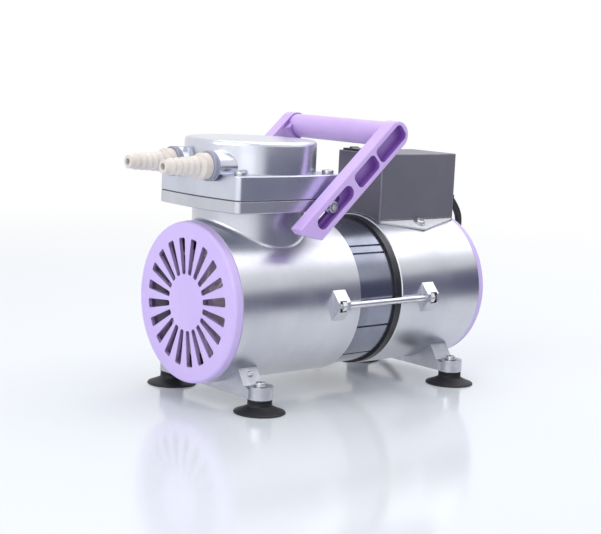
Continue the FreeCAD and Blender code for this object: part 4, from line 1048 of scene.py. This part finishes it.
def makeSwitchMarks():
    clearSelection()
    bpy.ops.mesh.primitive_cube_add(size=1)
    bar = nameActive("switchBar")
    bar.scale = (switchMark["length"], switchMark["width"], switchMark["thickness"])
    bpy.ops.object.transform_apply(scale=True)
    softenEdges(bar, switchMark["edge"], segments=1)
    half = switchMark["thickness"] / 2
    inner = switchMark["ring"] - switchMark["width"] / 2
    outer = switchMark["ring"] + switchMark["width"] / 2
    ring = spinOutline("switchRing", [
        (inner, -half), (outer, -half), (outer, half), (inner, half), (inner, -half)], steps=32)
    place = Vector((middleOf("switch_rocker").x, switchMark["side"], switchMark["height"]))
    surface = Matrix.Translation(place) @ Matrix.Rotation(math.radians(switchMark["tilt"]), 4, "X")
    for piece, shift in ((bar, -switchMark["spread"]), (ring, switchMark["spread"])):
        piece.data.transform(surface @ Matrix.Translation((0, shift, 0)))
        dress(piece, "rocker", "switchMark")


makeSwitchMarks()


# floor, backdrop and studio light

studio = {
    "floorSize": 12,
    "floorColour": (0.82, 0.86, 0.90),
    "floorGloss": 0.13,
    "floorIor": 1.45,
    "fadeStart": 0.42,
    "fadeEnd": 1.4,
    "nearGlow": 0.45,
    "ambient": 0.54,
    "ambientColour": (0.94, 0.96, 1.0),
    "lamps": [  # name, place, aim, size, power, colour
        ("overheadLamp", (0.55, 0.0, 1.25), (0.25, 0.0, 0.05), 1.7, 13.2, (1.0, 1.0, 1.0)),
        ("leftLamp", (-1.4, -0.3, 0.9), (0.0, 0.0, 0.1), 1.4, 11.5, (1.0, 0.99, 0.98)),
        ("frontLamp", (-1.15, -1.2, 0.12), (0.0, 0.0, 0.12), 0.7, 1.0, (1.0, 1.0, 1.0)),
    ],
    "cardSides": 96,
    "cardRadius": 0.42,
    "cardHeight": 0.20,
    "cardFrom": -2.1,
    "cardTo": 0.10,
    "cardEndFade": 0.26,
    "cardTopFade": 0.02,
    "cardFootFade": 0.02,
    "cardColour": (0.12, 0.12, 0.20),
    "floorRayTop": 0.003,  # a ray that starts lower than this left the floor
}


def glowNode(tree, kind, colour, strength=1.0):
    return addNode(tree, kind, values={"Color": (*colour, 1), "Strength": strength})


# what the output shows: the first where the share is 0, the second where it is 1
def mixInto(tree, output, share, first, second):
    mix = addNode(tree, "MixShader")
    tree.links.new(share, mix.inputs["Fac"])
    wire(tree, (first, 0, mix, 1), (second, 0, mix, 2), (mix, "Shader", output, "Surface"))


def makeFloor():
    clearSelection()
    bpy.ops.mesh.primitive_plane_add(size=studio["floorSize"])
    floor = nameActive("studioFloor")
    material = bpy.data.materials.new("studioFloor")
    tree, output = emptyTree(material, "OutputMaterial")
    surface = addNode(tree, "BsdfPrincipled", values={
        "Base Color": (*studio["floorColour"], 1), "Roughness": studio["floorGloss"],
        "IOR": studio["floorIor"]})
    white = glowNode(tree, "Emission", (1, 1, 1))
    spot = addNode(tree, "TexCoord")
    reach = addNode(tree, "VectorMath", {"operation": "LENGTH"})
    fade = spreadNode(tree, studio["fadeStart"], studio["fadeEnd"], smooth=True)
    rays = addNode(tree, "LightPath")
    seen = mathNode(tree, "MAXIMUM")
    both = mathNode(tree, "MULTIPLY")
    near = mathNode(tree, "MULTIPLY", {1: studio["nearGlow"]})
    most = mathNode(tree, "MAXIMUM")
    wire(tree, (spot, "Object", reach, 0), (reach, "Value", fade, "Value"),
         (rays, "Is Camera Ray", seen, 0), (rays, "Is Glossy Ray", seen, 1), (fade, "Result", both, 0),
         (seen, "Value", both, 1), (rays, "Is Glossy Ray", near, 0), (both, "Value", most, 0),
         (near, "Value", most, 1))
    mixInto(tree, output, most.outputs["Value"], surface, white)
    floor.data.materials.append(material)


# dusky card, seen only in reflections, that gives the metal its dark middle
def makeCard():
    clearSelection()
    bpy.ops.mesh.primitive_cylinder_add(
        vertices=studio["cardSides"], radius=studio["cardRadius"], depth=studio["cardHeight"],
        end_fill_type="NOTHING", location=(0, 0, studio["cardHeight"] / 2))
    card = nameActive("duskCard")
    bpy.ops.object.transform_apply(location=True)
    enterEdit()
    pickFaces(card, lambda centre, normal:
              not studio["cardFrom"] < math.atan2(centre.y, centre.x) < studio["cardTo"])
    bpy.ops.mesh.delete(type="FACE")
    leaveEdit()
    material = bpy.data.materials.new("duskCard")
    tree, output = emptyTree(material, "OutputMaterial")
    clear = addNode(tree, "BsdfTransparent")
    glow = glowNode(tree, "Emission", studio["cardColour"])
    spot = addNode(tree, "TexCoord")
    split = addNode(tree, "SeparateXYZ")
    around = mathNode(tree, "ARCTAN2")
    wire(tree, (spot, "Object", split, "Vector"), (split, "Y", around, 0), (split, "X", around, 1))
    # a ray that left the floor passes, so that the floor does not mirror the card
    rays = addNode(tree, "LightPath")
    geometry = addNode(tree, "NewGeometry")
    wayBack = addNode(tree, "VectorMath", {"operation": "SCALE"})
    start = addNode(tree, "VectorMath", {"operation": "ADD"})
    startSplit = addNode(tree, "SeparateXYZ")
    above = mathNode(tree, "GREATER_THAN", {1: studio["floorRayTop"]})
    wire(tree, (geometry, "Incoming", wayBack, 0), (rays, "Ray Length", wayBack, "Scale"),
         (spot, "Object", start, 0), (wayBack, "Vector", start, 1),
         (start, "Vector", startSplit, "Vector"), (startSplit, "Z", above, 0))
    share = above.outputs["Value"]
    for node, socket, edge, width in (  # from clear at the edge to full inside it
            (around, "Value", studio["cardFrom"], studio["cardEndFade"]),
            (around, "Value", studio["cardTo"], -studio["cardEndFade"]),
            (split, "Z", studio["cardHeight"], -studio["cardTopFade"]),
            (split, "Z", 0.0, studio["cardFootFade"])):
        fade = spreadNode(tree, edge, edge + width, smooth=True)
        both = mathNode(tree, "MULTIPLY")
        wire(tree, (node, socket, fade, "Value"), (fade, "Result", both, 1))
        tree.links.new(share, both.inputs[0])
        share = both.outputs["Value"]
    mixInto(tree, output, share, clear, glow)
    card.data.materials.append(material)
    card.visible_camera = False
    card.visible_diffuse = False
    card.visible_transmission = False
    card.visible_shadow = False


def makeWorld():
    world = bpy.data.worlds.new("studioWorld")
    bpy.context.scene.world = world
    tree, output = emptyTree(world, "OutputWorld")
    ambient = glowNode(tree, "Background", studio["ambientColour"], studio["ambient"])
    white = glowNode(tree, "Background", (1, 1, 1))
    rays = addNode(tree, "LightPath")
    first = mathNode(tree, "ADD")
    total = mathNode(tree, "ADD", clamp=True)
    wire(tree, (rays, "Is Camera Ray", first, 0), (rays, "Is Glossy Ray", first, 1),
         (first, "Value", total, 0), (rays, "Is Transmission Ray", total, 1))
    mixInto(tree, output, total.outputs["Value"], ambient, white)


def makeLamps():
    for name, place, aim, size, power, colour in studio["lamps"]:
        lamp = bpy.data.lights.new(name, "AREA")
        lamp.size = size
        lamp.energy = power
        lamp.color = colour
        holder = bpy.data.objects.new(name, lamp)
        bpy.context.collection.objects.link(holder)
        holder.location = place
        holder.rotation_euler = (Vector(aim) - Vector(place)).to_track_quat("-Z", "Y").to_euler()


makeFloor()
makeCard()
makeWorld()
makeLamps()
bpy.context.scene.view_settings.view_transform = "Standard"
print("studio lit")
